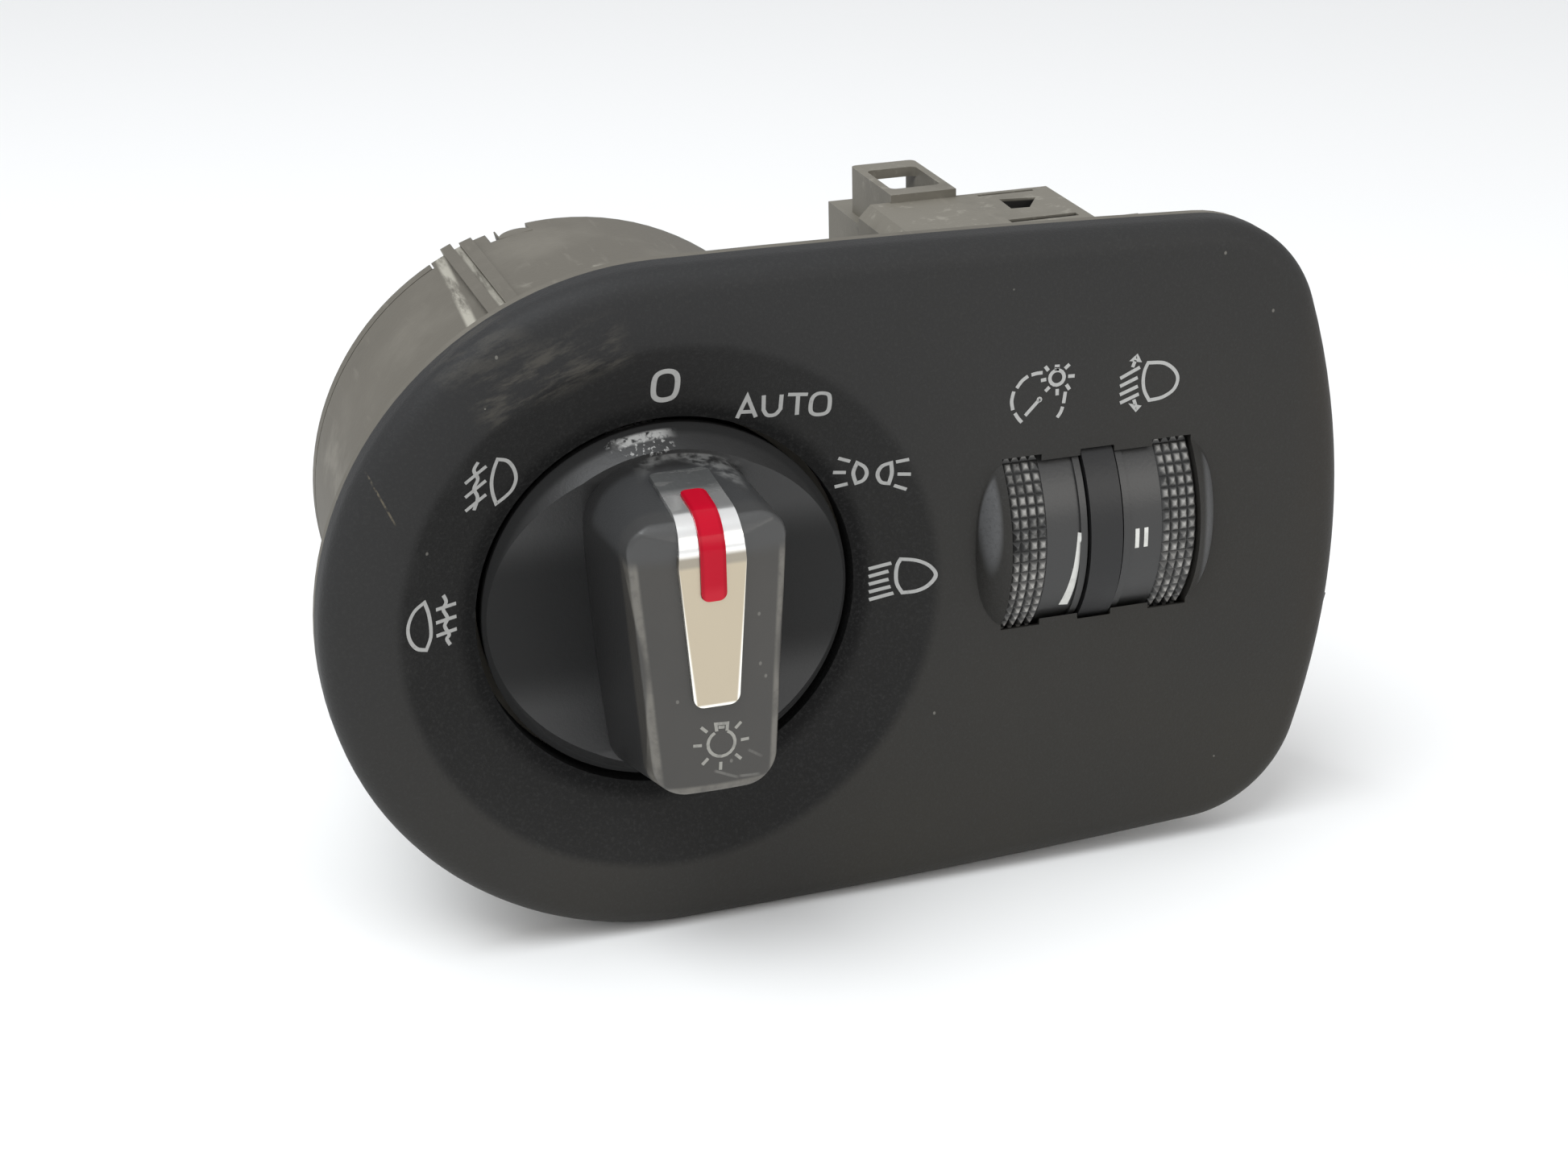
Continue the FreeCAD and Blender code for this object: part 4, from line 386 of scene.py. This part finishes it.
SIGN_REAR_FOG = [
    rounded([(-0.8, 2.85), (-2.1, 2.1), (-2.9, 0.55), (-2.8, -1.05), (-2.05, -2.3), (-0.95, -2.8)])
    + rounded([(-0.95, -2.8), (-0.35, -1.55), (-0.25, -0.2), (-0.4, 1.4), (-0.8, 2.85)]),
    *rays([(0.5, 1.55), (0.4, 0.0), (0.35, -1.55)], [(2.9, 1.65), (2.85, 0.1), (2.8, -1.4)]),
    rounded([(1.45, 3.05), (1.75, 2.15), (1.35, 1.35), (1.8, 0.15), (1.4, -0.65), (1.85, -1.8),
             (1.55, -2.25), (1.9, -3.05)]),
]
SIGN_DIMMER = [
    rounded([(-2.55, -3.2), (-3.0, -2.65), (-3.4, -2.0)]),
    rounded([(-3.65, -1.6), (-3.8, -0.5), (-3.55, 0.6)]),
    rounded([(-3.2, 0.95), (-2.6, 1.7), (-1.85, 2.2)]),
    rounded([(-1.45, 2.3), (-0.75, 2.4), (-0.1, 2.4)]),
    rounded([(2.7, -0.2), (2.6, -0.9), (2.5, -1.55)]),
    rounded([(2.4, -1.95), (2.15, -2.6), (1.75, -3.15)]),
    [(-2.15, -2.45), (-0.4, -0.7)], ring((-0.45, -0.75), 0.12, steps=8),
    ring((1.65, 1.6), 0.87), [(1.35, 2.95), (1.95, 2.9)], [(1.35, 2.65), (1.9, 2.6)],
    *rays([(0.6, 2.55), (0.35, 1.55), (0.75, 0.6), (1.7, 0.25), (2.8, 0.65), (3.0, 1.6), (2.6, 2.55)],
          [(0.2, 3.1), (-0.3, 1.5), (0.25, 0.15), (1.7, -0.5), (3.2, 0.0), (3.8, 1.55), (3.15, 3.0)]),
]
SIGN_LEVELLING = [
    rounded([(-0.15, 2.25), (1.8, 2.0), (3.1, 1.05), (3.6, -0.1), (3.1, -1.35), (1.7, -2.1), (0.1, -2.25)])
    + rounded([(0.1, -2.25), (-0.5, -1.1), (-0.7, 0.15), (-0.55, 1.35), (-0.15, 2.25)]),
    *rays([(-3.55, 0.8), (-3.55, -0.15), (-3.55, -1.15), (-3.5, -2.15)],
          [(-1.15, 1.85), (-1.4, 0.65), (-1.35, -0.4), (-1.2, -1.35)]),
    [(-2.05, 1.95), (-1.75, 2.75)], [(-2.0, 2.85), (-1.55, 3.2), (-1.3, 2.7), (-2.0, 2.85)],
    [(-1.8, -1.95), (-1.55, -2.7)], [(-1.9, -2.7), (-1.2, -2.9), (-1.5, -3.2), (-1.9, -2.7)],
]
SIGNS = {
    "sign_zero": (SIGN_ZERO, (0.3, 26.1), 0.62),
    "sign_auto": (SIGN_AUTO, (13.6, 22.2), 0.45),
    "sign_side_lights": (SIGN_SIDE_LIGHTS, (23.7, 12.9), STROKE),
    "sign_low_beam": (SIGN_LOW_BEAM, (27.2, -0.45), STROKE),
    "sign_front_fog": (SIGN_FRONT_FOG, (-19.6, 17.55), STROKE),
    "sign_rear_fog": (SIGN_REAR_FOG, (-27.0, 2.2), STROKE),
    "sign_dimmer": (SIGN_DIMMER, (43.55, 20.6), STROKE),
    "sign_levelling": (SIGN_LEVELLING, (56.5, 20.35), STROKE),
}
for sign, (strokes, centre, width) in SIGNS.items():
    print_on(sign, "fascia", "switch", strokes, centre, print_grey, width)

# Carrier and drum end cap
# Both are moulded in olive-grey glass-filled nylon: the flange and drum in one, and the cap that closes
# the drum. The nylon is matt and mottled, rubbed pale along its rails and on the drum's left side. Its
# hook at the right end is dark.

OLIVE = (0.114, 0.104, 0.085)
OLIVE_PALE = (0.215, 0.200, 0.168)
OLIVE_DARK = (0.066, 0.060, 0.048)
SCRATCHED_OLIVE = (0.42, 0.40, 0.34)
SIDE_HOOK_DARK = (0.03, 0.028, 0.025)
LEFT_RAIL_CLOCK = -31.9
RAIL_CLOCK_PER_DEPTH = 0.116
RIGHT_RAIL_CLOCK = -22.4
DRUM_SIDE_RADIUS = (30.0, 31.4)
SMUDGE = {"clock": (-74.0, 9.0), "depth": (32.0, 9.0)}
RUBBED_TOP = {"clock": (-8.0, 11.0), "depth": (22.0, 8.0)}
RAIL_WEAR_START_Y = (12.0, 18.0)
SIDE_HOOK_X = (81.5, 82.2)


def olive(name, colour=OLIVE):
    """The bare nylon with its clouds and its glass fibres, before any wear."""
    finish = Finish(name, colour, 0.6, Specular_IOR_Level=0.3)
    cloud = finish.noise(45.0, detail=5.0, roughness=0.6)
    finish.paint(cloud.between(0.48, 0.75) * 0.4, OLIVE_PALE)
    finish.paint((1 - cloud.between(0.25, 0.45)) * 0.5, OLIVE_DARK)
    fibre = finish.noise(700.0, detail=4.0, stretch=(1.0, 5.5, 1.0))
    finish.paint(fibre.between(0.6, 0.75) * 0.25, OLIVE_PALE)
    finish.raise_by(finish.noise(1800.0), 0.03)
    finish.raise_by(fibre, 0.02)
    return finish


drum_nylon = olive("drum_nylon")
# The clock angle runs clockwise in degrees from the drum's top, as seen from the front.
clock = drum_nylon.maths("ARCTAN2", drum_nylon.x, drum_nylon.z) * math.degrees(1)
scrapes = drum_nylon.noise(500.0, detail=5.0, roughness=0.7, stretch=(1.0, 6.0, 1.0)).between(0.33, 0.55)
left_rail = (clock - drum_nylon.y * RAIL_CLOCK_PER_DEPTH).near(LEFT_RAIL_CLOCK, 1.5)
rail_flanks = left_rail.most(clock.near(RIGHT_RAIL_CLOCK, 0.9) * 0.8)
on_drum_side = distance(drum_nylon.x, drum_nylon.z).between(*DRUM_SIDE_RADIUS)
on_rails = rail_flanks * on_drum_side * drum_nylon.y.between(*RAIL_WEAR_START_Y)
drum_nylon.paint(on_rails * scrapes * 0.8, SCRATCHED_OLIVE, 0.5)
smudge = clock.near(*SMUDGE["clock"]) * drum_nylon.y.near(*SMUDGE["depth"])
drum_nylon.paint(smudge * drum_nylon.noise(160.0, detail=4.0).between(0.42, 0.66) * 0.6, OLIVE_PALE)
rubbed_top = clock.near(*RUBBED_TOP["clock"]) * drum_nylon.y.near(*RUBBED_TOP["depth"])
drum_nylon.paint(rubbed_top * drum_nylon.noise(260.0, detail=5.0).between(0.55, 0.7) * 0.5, SCRATCHED_OLIVE)
drum_nylon.paint(drum_nylon.x.between(*SIDE_HOOK_X), SIDE_HOOK_DARK)
worn_nylon = drum_nylon.done()
for name in ("carrier", "drum_end_cap"):
    dress(name, worn_nylon)

# Knob cap
# The turning knob: disc and handle in one black moulding with the fascia's satin grain. Fingers have
# rubbed the handle's edges, the disc's rim is scraped at its top left, and a lamp is printed on the end.
# A painted highlight lies on the handle's upper slope, and painted shade on the outer part of the disc's
# bevel.

KNOB_BLACK = (0.0185, 0.0183, 0.0182)
FRONT_GREY = (0.046, 0.043, 0.038)
BROW_HIGHLIGHT_GREY = (0.050, 0.051, 0.052)
RUBBED_GREY = (0.170, 0.160, 0.140)
SCRAPED_GREY = (0.36, 0.36, 0.35)
FOOT_GREY = (0.20, 0.20, 0.195)
NICK_GREY = (0.19, 0.185, 0.17)
HANDLE_PRINT_GREY = (0.27, 0.265, 0.24)
THIN_HANDLE_PRINT = (0.12, 0.118, 0.11)
HANDLE_END_Z = -14.8
HANDLE_END_HALF_WIDTH = 6.7
HANDLE_TAPER = 2.2 / 31.1
HANDLE_PEAK_Y = -21.5
HANDLE_CROWN_RADIUS = 29.0
HANDLE_FRONT_Y = (-17.8, -16.6)
BROW_Z = (11.5, 13.5)
BROW_Y = (-8.5, -6.5)
EDGE_WEAR_END_Z = (11.5, 13.0)
DISC_BEVEL_Y = (-3.9, -3.1)
RIM_RADIUS = 20.3
RIM_WEAR_X = (-2.2, 4.0)
RIM_SCRAPE = ((-2.6, 19.4), 4.2, 1.1)
FOOT_RADIUS = 18.2
FOOT_LINE_X = (2.0, 7.0)
FOOT_LINE_Z = (12.0, 14.0)
HANDLE_NICKS = (((-0.6, -12.2), (2.4, -13.6)), ((2.2, -13.4), (5.0, -13.7)), ((3.4, -10.4), (5.2, -11.7)))
HANDLE_SPECKS = ((5.2, -0.6), (5.8, -2.2), (1.5, -11.4), (-4.2, -3.6), (5.2, 5.2))

knob_satin = Finish("knob_satin", KNOB_BLACK, 0.42, Specular_IOR_Level=0.5)
handle_front = 1 - knob_satin.y.between(*HANDLE_FRONT_Y)
knob_satin.paint(handle_front * (0.6 + 0.4 * knob_satin.noise(120.0, detail=4.0)), FRONT_GREY)
# Painted highlight on the handle's upper slope.
brow_highlight = knob_satin.z.between(*BROW_Z) * (1 - knob_satin.y.between(*BROW_Y))
knob_satin.paint(brow_highlight * 0.7, BROW_HIGHLIGHT_GREY, 0.36)
half_width = HANDLE_END_HALF_WIDTH + (knob_satin.z - HANDLE_END_Z) * HANDLE_TAPER
side_gap = half_width - abs(knob_satin.x)
end_gap = knob_satin.z - HANDLE_END_Z
below_front = knob_satin.y - HANDLE_PEAK_Y - knob_satin.z ** 2 / (2 * HANDLE_CROWN_RADIUS)
on_edge = side_gap.near(0.3, 0.7).most(end_gap.near(0.4, 0.7))
worn_edge = on_edge * (1 - below_front.between(0.7, 1.1)) * (1 - knob_satin.z.between(*EDGE_WEAR_END_Z))
rubbed = knob_satin.noise(420.0, detail=5.0, roughness=0.65).between(0.3, 0.6)
knob_satin.paint(worn_edge * (0.4 + 0.6 * rubbed) * 0.7, RUBBED_GREY, 0.45)
# Painted shade on the outer part of the disc's bevel, widening the dark gap round the knob.
knob_satin.paint(knob_satin.y.between(*DISC_BEVEL_Y) * 0.95, GAP_SHADE_BLACK, 0.8)
knob_satin.raise_by(knob_satin.noise(GRAIN_SCALE, detail=4.0, roughness=0.7), 0.03)
from_centre = distance(knob_satin.x, knob_satin.z)
flecks = knob_satin.noise(1500.0, detail=3.0, roughness=0.6)
scraped_rim = from_centre.near(RIM_RADIUS, 0.5) * knob_satin.x.near(*RIM_WEAR_X)
scraped_patch = knob_satin.patch(*RIM_SCRAPE) * flecks.between(0.56, 0.64)
scraped = scraped_rim.most(scraped_patch) * flecks.between(0.35, 0.55) * knob_satin.z.between(0, 10)
knob_satin.paint(scraped, SCRAPED_GREY, 0.5)
on_foot = knob_satin.x.near(*FOOT_LINE_X) * knob_satin.z.between(*FOOT_LINE_Z)
foot_line = from_centre.near(FOOT_RADIUS, 0.35) * on_foot
knob_satin.paint(foot_line * knob_satin.noise(700.0).between(0.35, 0.6) * 0.7, FOOT_GREY, 0.4)
for start, end in HANDLE_NICKS:
    knob_satin.paint(knob_satin.streak(start, end, 0.22) * rubbed * 0.45, NICK_GREY)
for speck in HANDLE_SPECKS:
    knob_satin.paint(knob_satin.patch(speck, 0.22, 0.28) * 0.7, DUST_GREY)
knob_satin.paint(knob_satin.specks(420.0, 0.06, 0.04), DUST_GREY, 0.7)
dress("knob_cap", knob_satin.done(), angle=28.0)

LAMP_CENTRE = (0.45, -9.1)
LAMP_STROKE = 0.36
BULB_RADIUS = 1.53
RAY_START = 2.2
RAY_END = 3.15
RAY_TURNS = (0, 43, 135, 178, 225, 266, 314)

lamp_sign = [ring((0, 0), BULB_RADIUS, 118, 422), [(-0.5, 1.5), (-0.6, 2.4), (0.75, 2.3), (0.65, 1.4)],
             [(-0.3, 1.95), (0.4, 1.9)]]
for ray_turn in RAY_TURNS:
    toward = (math.cos(math.radians(ray_turn)), math.sin(math.radians(ray_turn)))
    lamp_sign.append([(toward[0] * reach, toward[1] * reach) for reach in (RAY_START, RAY_END)])
handle_print = Finish("handle_print", HANDLE_PRINT_GREY, 0.55)
handle_print.paint(handle_print.noise(900.0, detail=4.0).between(0.5, 0.7) * 0.5, THIN_HANDLE_PRINT)
print_on("sign_lamp", "knob_cap", "knob", lamp_sign, LAMP_CENTRE, handle_print.done(), LAMP_STROKE)

# Knob trim
# A thin champagne-silver plated strip let into the handle, with a painted highlight along its rim. It runs
# over the top corner, where a painted dark reflection and then a painted mirror-bright reflection lie, and
# its upper end is rubbed down to rough grey.

CHAMPAGNE = (0.500, 0.435, 0.330)
RIM_HIGHLIGHT_SILVER = (0.95, 0.93, 0.86)
BEND_SHADE = (0.22, 0.21, 0.19)
TOP_REFLECTION_SILVER = (0.92, 0.92, 0.91)
WORN_END_GREY = (0.13, 0.135, 0.135)
BARE_SILVER = (0.50, 0.50, 0.49)
STRIP_END_Z = -4.4
STRIP_END_HALF_WIDTH = 2.5
STRIP_TAPER = 1.22 / 13.0
STRIP_BEND_Z = 12.5
STRIP_FRONT_Y = (-21.5, -19.0)
WORN_END_Y = (-15.5, -13.2)
BARE_END_Y = (-16.0, -14.0)

champagne = Finish("champagne_silver", CHAMPAGNE, 0.42, Metallic=0.85)
strip_half_width = STRIP_END_HALF_WIDTH + (champagne.z - STRIP_END_Z) * STRIP_TAPER
strip_side = (strip_half_width - abs(champagne.x)).near(0.0, 0.42)
# Painted highlight along the strip's rim and its lower end.
rim_highlight = strip_side.most((champagne.z - STRIP_END_Z).near(0.0, 0.4))
champagne.paint(rim_highlight * (1 - champagne.y.between(*STRIP_FRONT_Y)), RIM_HIGHLIGHT_SILVER, 0.22)
# Painted dark reflection in a band at the bend.
champagne.paint(champagne.z.near(STRIP_BEND_Z, 0.9) * 0.6, BEND_SHADE, 0.3)
# Painted reflection: the strip is painted mirror-bright over the top corner.
top_reflection = champagne.z.between(STRIP_BEND_Z + 0.3, STRIP_BEND_Z + 1.0)
champagne.paint(top_reflection * 0.95, TOP_REFLECTION_SILVER, 0.2)
worn_end = champagne.y.between(*WORN_END_Y)
champagne.paint(worn_end * 0.9, WORN_END_GREY, 0.5)
bare = champagne.noise(700.0, detail=5.0, roughness=0.7, stretch=(2.5, 1.0, 1.0)).between(0.5, 0.62)
champagne.paint(champagne.y.between(*BARE_END_Y) * bare * 0.75, BARE_SILVER, 0.3)
champagne.raise_by(champagne.noise(260.0), 0.02)
champagne.raise_by(worn_end * champagne.noise(1300.0, detail=4.0), 0.06)
dress("knob_trim", champagne.done())

# Pointer lens
# The red translucent pointer that shows the chosen stop, pressed into the trim and lit from behind.
# It is paler at its lower end and deeper along its sides.

RUBY = (0.41, 0.004, 0.018)
RUBY_LOW_END = (0.50, 0.025, 0.040)
RUBY_SIDE = (0.30, 0.002, 0.012)
RUBY_CLOUD = (0.45, 0.006, 0.022)
LENS_HALF_WIDTH = 1.4
LENS_LOW_END_Z = (8.5, 10.0)

ruby = Finish("ruby_lens", RUBY, 0.12, Specular_IOR_Level=0.14)
ruby.paint((1 - ruby.z.between(*LENS_LOW_END_Z)) * 0.5, RUBY_LOW_END)
ruby.paint((LENS_HALF_WIDTH - abs(ruby.x)).near(0.0, 0.5) * 0.6, RUBY_SIDE)
ruby.paint(ruby.noise(180.0).between(0.4, 0.8) * 0.3, RUBY_CLOUD)
dress("pointer_lens", ruby.done())

# Thumbwheels and divider
# Two black moulded wheels with a knurled outer band each, and the fixed rib between them.
# The knurl's points carry a painted highlight. The marks are white, filled into the smooth bands.

WHEEL_BLACK = (0.0260, 0.0258, 0.0255)
KNURL_HIGHLIGHT_GREY = (0.38, 0.37, 0.35)
RIB_BLACK = (0.0135, 0.0135, 0.0140)
RIB_CLOUD = (0.034, 0.034, 0.034)
MARK_WHITE = (0.62, 0.62, 0.59)
THIN_MARK = (0.38, 0.38, 0.36)
WHEEL_AXIS_Y = 5.9
WHEEL_AXIS_Z = 2.7
KNURL_X = (41.075, 59.625)
KNURL_REACH = 3.0
KNURL_POINT_RADIUS = (15.12, 15.5)

wheel_satin = Finish("wheel_satin", WHEEL_BLACK, 0.36, Specular_IOR_Level=0.5)
from_axis = distance(wheel_satin.y - WHEEL_AXIS_Y, wheel_satin.z - WHEEL_AXIS_Z)
on_left_knurl, on_right_knurl = (wheel_satin.x.near(middle, KNURL_REACH) for middle in KNURL_X)
# Painted highlight on the knurl's points.
on_points = from_axis.between(*KNURL_POINT_RADIUS) * on_left_knurl.most(on_right_knurl)
wheel_satin.paint(on_points * wheel_satin.noise(500.0).between(0.3, 0.6) * 0.9, KNURL_HIGHLIGHT_GREY, 0.34)
wheel_satin.raise_by(wheel_satin.noise(2200.0, detail=4.0), 0.02)
wheel_satin.paint(wheel_satin.specks(600.0, 0.07, 0.12), DUST_GREY, 0.7)
worn_wheel = wheel_satin.done()
for name in ("dimmer_wheel", "levelling_wheel"):
    dress(name, worn_wheel)

rib_satin = Finish("rib_satin", RIB_BLACK, 0.40, Specular_IOR_Level=0.34)
rib_satin.raise_by(rib_satin.noise(2200.0, detail=4.0), 0.02)
rib_satin.paint(rib_satin.noise(120.0, detail=4.0).between(0.5, 0.75) * 0.3, RIB_CLOUD)
dress("wheel_divider", rib_satin.done())

LEVELLING_MARKS_CENTRE = (54.96, 2.43)
LEVELLING_MARKS = [[(-0.55, -1.2), (-0.55, 1.2)], [(0.55, -1.2), (0.55, 1.2)]]
DIMMER_WEDGE = [[(47.15, 4.2, 0.28), (47.05, 2.0, 0.45), (46.95, -0.2, 0.6), (46.7, -3.0, 0.82),
                 (46.35, -5.65, 1.05)]]

white = Finish("mark_white", MARK_WHITE, 0.5)
white.paint(white.noise(800.0).between(0.5, 0.7) * 0.35, THIN_MARK)
mark_white = white.done()
print_on("levelling_marks", "levelling_wheel", "levelling_wheel", LEVELLING_MARKS, LEVELLING_MARKS_CENTRE,
         mark_white, 0.5)
print_on("dimmer_mark", "dimmer_wheel", "dimmer_wheel", DIMMER_WEDGE, (0, 0), mark_white, 1.1)

# Thumbwheel module
# The olive housing behind the wheels, moulded in the same nylon as the carrier and chipped on its top,
# round the latch opening. The inside of the opening is painted dark as shade.

MODULE_OLIVE = (0.160, 0.148, 0.122)
HOLLOW_SHADE_DARK = (0.012, 0.011, 0.010)
MODULE_TOP_Z = 34.0
LATCH_X = (48.4, 57.4)
LATCH_Y = (15.0, 29.2)
HOLLOW_DEPTH = 3.2
CHIPS_START_Y = (12.0, 16.0)
SOFT_EDGE = 0.2

module_nylon = olive("module_nylon", MODULE_OLIVE)
chips = module_nylon.noise(420.0, detail=5.0, roughness=0.7).between(0.55, 0.66)
on_top = module_nylon.z.between(MODULE_TOP_Z - 1.5, MODULE_TOP_Z - 0.5)
module_nylon.paint(module_nylon.y.between(*CHIPS_START_Y) * on_top * chips * 0.22, SCRATCHED_OLIVE)
# Painted shade: the inside of the latch opening is darkened.
hollow_floor = MODULE_TOP_Z - HOLLOW_DEPTH
below_rim = 1 - module_nylon.z.between(MODULE_TOP_Z - 0.4, MODULE_TOP_Z - 0.1)
hollow_shade = module_nylon.z.between(hollow_floor, hollow_floor + SOFT_EDGE) * below_rim
for side, (low, high) in ((module_nylon.x, LATCH_X), (module_nylon.y, LATCH_Y)):
    hollow_shade = hollow_shade * side.between(low, low + SOFT_EDGE) * (1 - side.between(high - SOFT_EDGE, high))
module_nylon.paint(hollow_shade, HOLLOW_SHADE_DARK, 0.8)
dress("module_housing", module_nylon.done())

# Parts inside
# The moulded parts of the switch, its boards, springs and contacts, each in its own plain finish.
# The catch's spring is given a mesh of its own.

INNER_FINISHES = {
    "cream_nylon": (((0.62, 0.57, 0.46), 0.5, (0.7, 0.66, 0.56)), {}, (
        "rotor", "knob_shaft", "detent_ring", "fog_slider")),
    "dark_nylon": (((0.035, 0.035, 0.037), 0.5, (0.06, 0.06, 0.06)), {}, ("push_washer", "lock_catch")),
    "clear_acrylic": (((0.85, 0.87, 0.88), 0.12, (0.9, 0.9, 0.9)), {"Transmission_Weight": 0.7}, (
        "symbol_light_guide", "pointer_light_rod", "knob_light_guide", "symbol_lamps")),
    "board_green": (((0.012, 0.09, 0.035), 0.3, (0.02, 0.12, 0.05)), {}, ("switch_board", "module_board")),
    "contact_brass": (((0.75, 0.58, 0.30), 0.28, (0.8, 0.68, 0.45)), {"Metallic": 1.0}, (
        "switch_tracks", "terminal_pins", "rotor_wipers", "fog_wiper", "dimmer_wiper", "levelling_wiper",
        "module_pins")),
    "spring_steel": (((0.5, 0.5, 0.52), 0.3, (0.62, 0.62, 0.62)), {"Metallic": 1.0}, (
        "detent_balls", "detent_springs", "catch_spring", "wheel_axle", "levelling_spring")),
    "carbon_film": (((0.02, 0.02, 0.022), 0.6, (0.04, 0.04, 0.04)), {}, ("dimmer_track", "levelling_track")),
}


def plain_finish(name, colour, roughness, paler, **fixed):
    finish = Finish(name, colour, roughness, **fixed)
    finish.paint(finish.noise(90.0, detail=4.0).between(0.45, 0.75) * 0.4, paler)
    finish.raise_by(finish.noise(1500.0), 0.01)
    return finish.done()


for finish_name, (looks, fixed, names) in INNER_FINISHES.items():
    material = plain_finish(finish_name, *looks, **fixed)
    for name in names:
        dress(name, material)

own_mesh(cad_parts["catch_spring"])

# Floor, light and camera
# A plain pale floor under the part, one broad soft light overhead to the left, a weak one at the right
# and an even pale surround. Sizes of the floor and the lights are in metres.

FLOOR_Z = -39.6
FLOOR_HALF_SIZE = 3.0
FLOOR_WHITE = (0.90, 0.90, 0.895)
SURROUND_WHITE = (0.97, 0.98, 1.0, 1.0)
SURROUND_STRENGTH = 0.70
CAMERA_PLACE = (-76.053, -291.964, 127.367)
CAMERA_RIGHT = Vector((0.952265, -0.304584, -0.020492))
CAMERA_UP = Vector((0.136365, 0.364359, 0.921220))
FOCAL_PIXELS = 3590.77
PHOTO_WIDTH = 1946
SENSOR = 36.0


def soft_light(name, place, target, size, power, colour):
    light = bpy.data.lights.new(name, "AREA")
    light.shape = "RECTANGLE"
    light.size, light.size_y = size
    light.energy = power
    light.color = colour
    lamp_piece = bpy.data.objects.new(name, light)
    lamp_piece.location = place
    lamp_piece.rotation_euler = (Vector(target) - Vector(place)).to_track_quat("-Z", "Y").to_euler()
    bpy.context.collection.objects.link(lamp_piece)


floor_form = bmesh.new()
bmesh.ops.create_grid(floor_form, x_segments=1, y_segments=1, size=FLOOR_HALF_SIZE)
bmesh.ops.translate(floor_form, verts=floor_form.verts, vec=(0, 0, FLOOR_Z * MM))
floor_mesh = bpy.data.meshes.new("floor")
floor_form.to_mesh(floor_mesh)
floor_form.free()
floor_mesh.materials.append(Finish("pale_floor", FLOOR_WHITE, 0.75).done())
floor = bpy.data.objects.new("floor", floor_mesh)
bpy.context.collection.objects.link(floor)

soft_light("overhead", (-0.25, -0.15, 0.70), (0.02, 0.0, 0.0), (0.7, 0.5), 5.2, (0.95, 0.98, 1.0))
soft_light("front_fill", (0.45, -0.75, 0.35), (0.03, 0.0, 0.0), (0.5, 0.5), 2.0, (1.0, 0.97, 0.92))

world = bpy.data.worlds.new("surround")
world.use_nodes = True
world.node_tree.nodes["Background"].inputs["Color"].default_value = SURROUND_WHITE
world.node_tree.nodes["Background"].inputs["Strength"].default_value = SURROUND_STRENGTH
bpy.context.scene.world = world
bpy.context.scene.view_settings.view_transform = "Standard"

camera_data = bpy.data.cameras.new("camera")
camera_data.sensor_width = SENSOR
camera_data.lens = FOCAL_PIXELS * SENSOR / PHOTO_WIDTH
camera_data.clip_start = 0.01
camera = bpy.data.objects.new("camera", camera_data)
camera_turn = Matrix((CAMERA_RIGHT, CAMERA_UP, CAMERA_RIGHT.cross(CAMERA_UP))).transposed()
camera.matrix_world = Matrix.Translation(Vector(CAMERA_PLACE) * MM) @ camera_turn.to_4x4()
bpy.context.collection.objects.link(camera)
bpy.context.scene.camera = camera
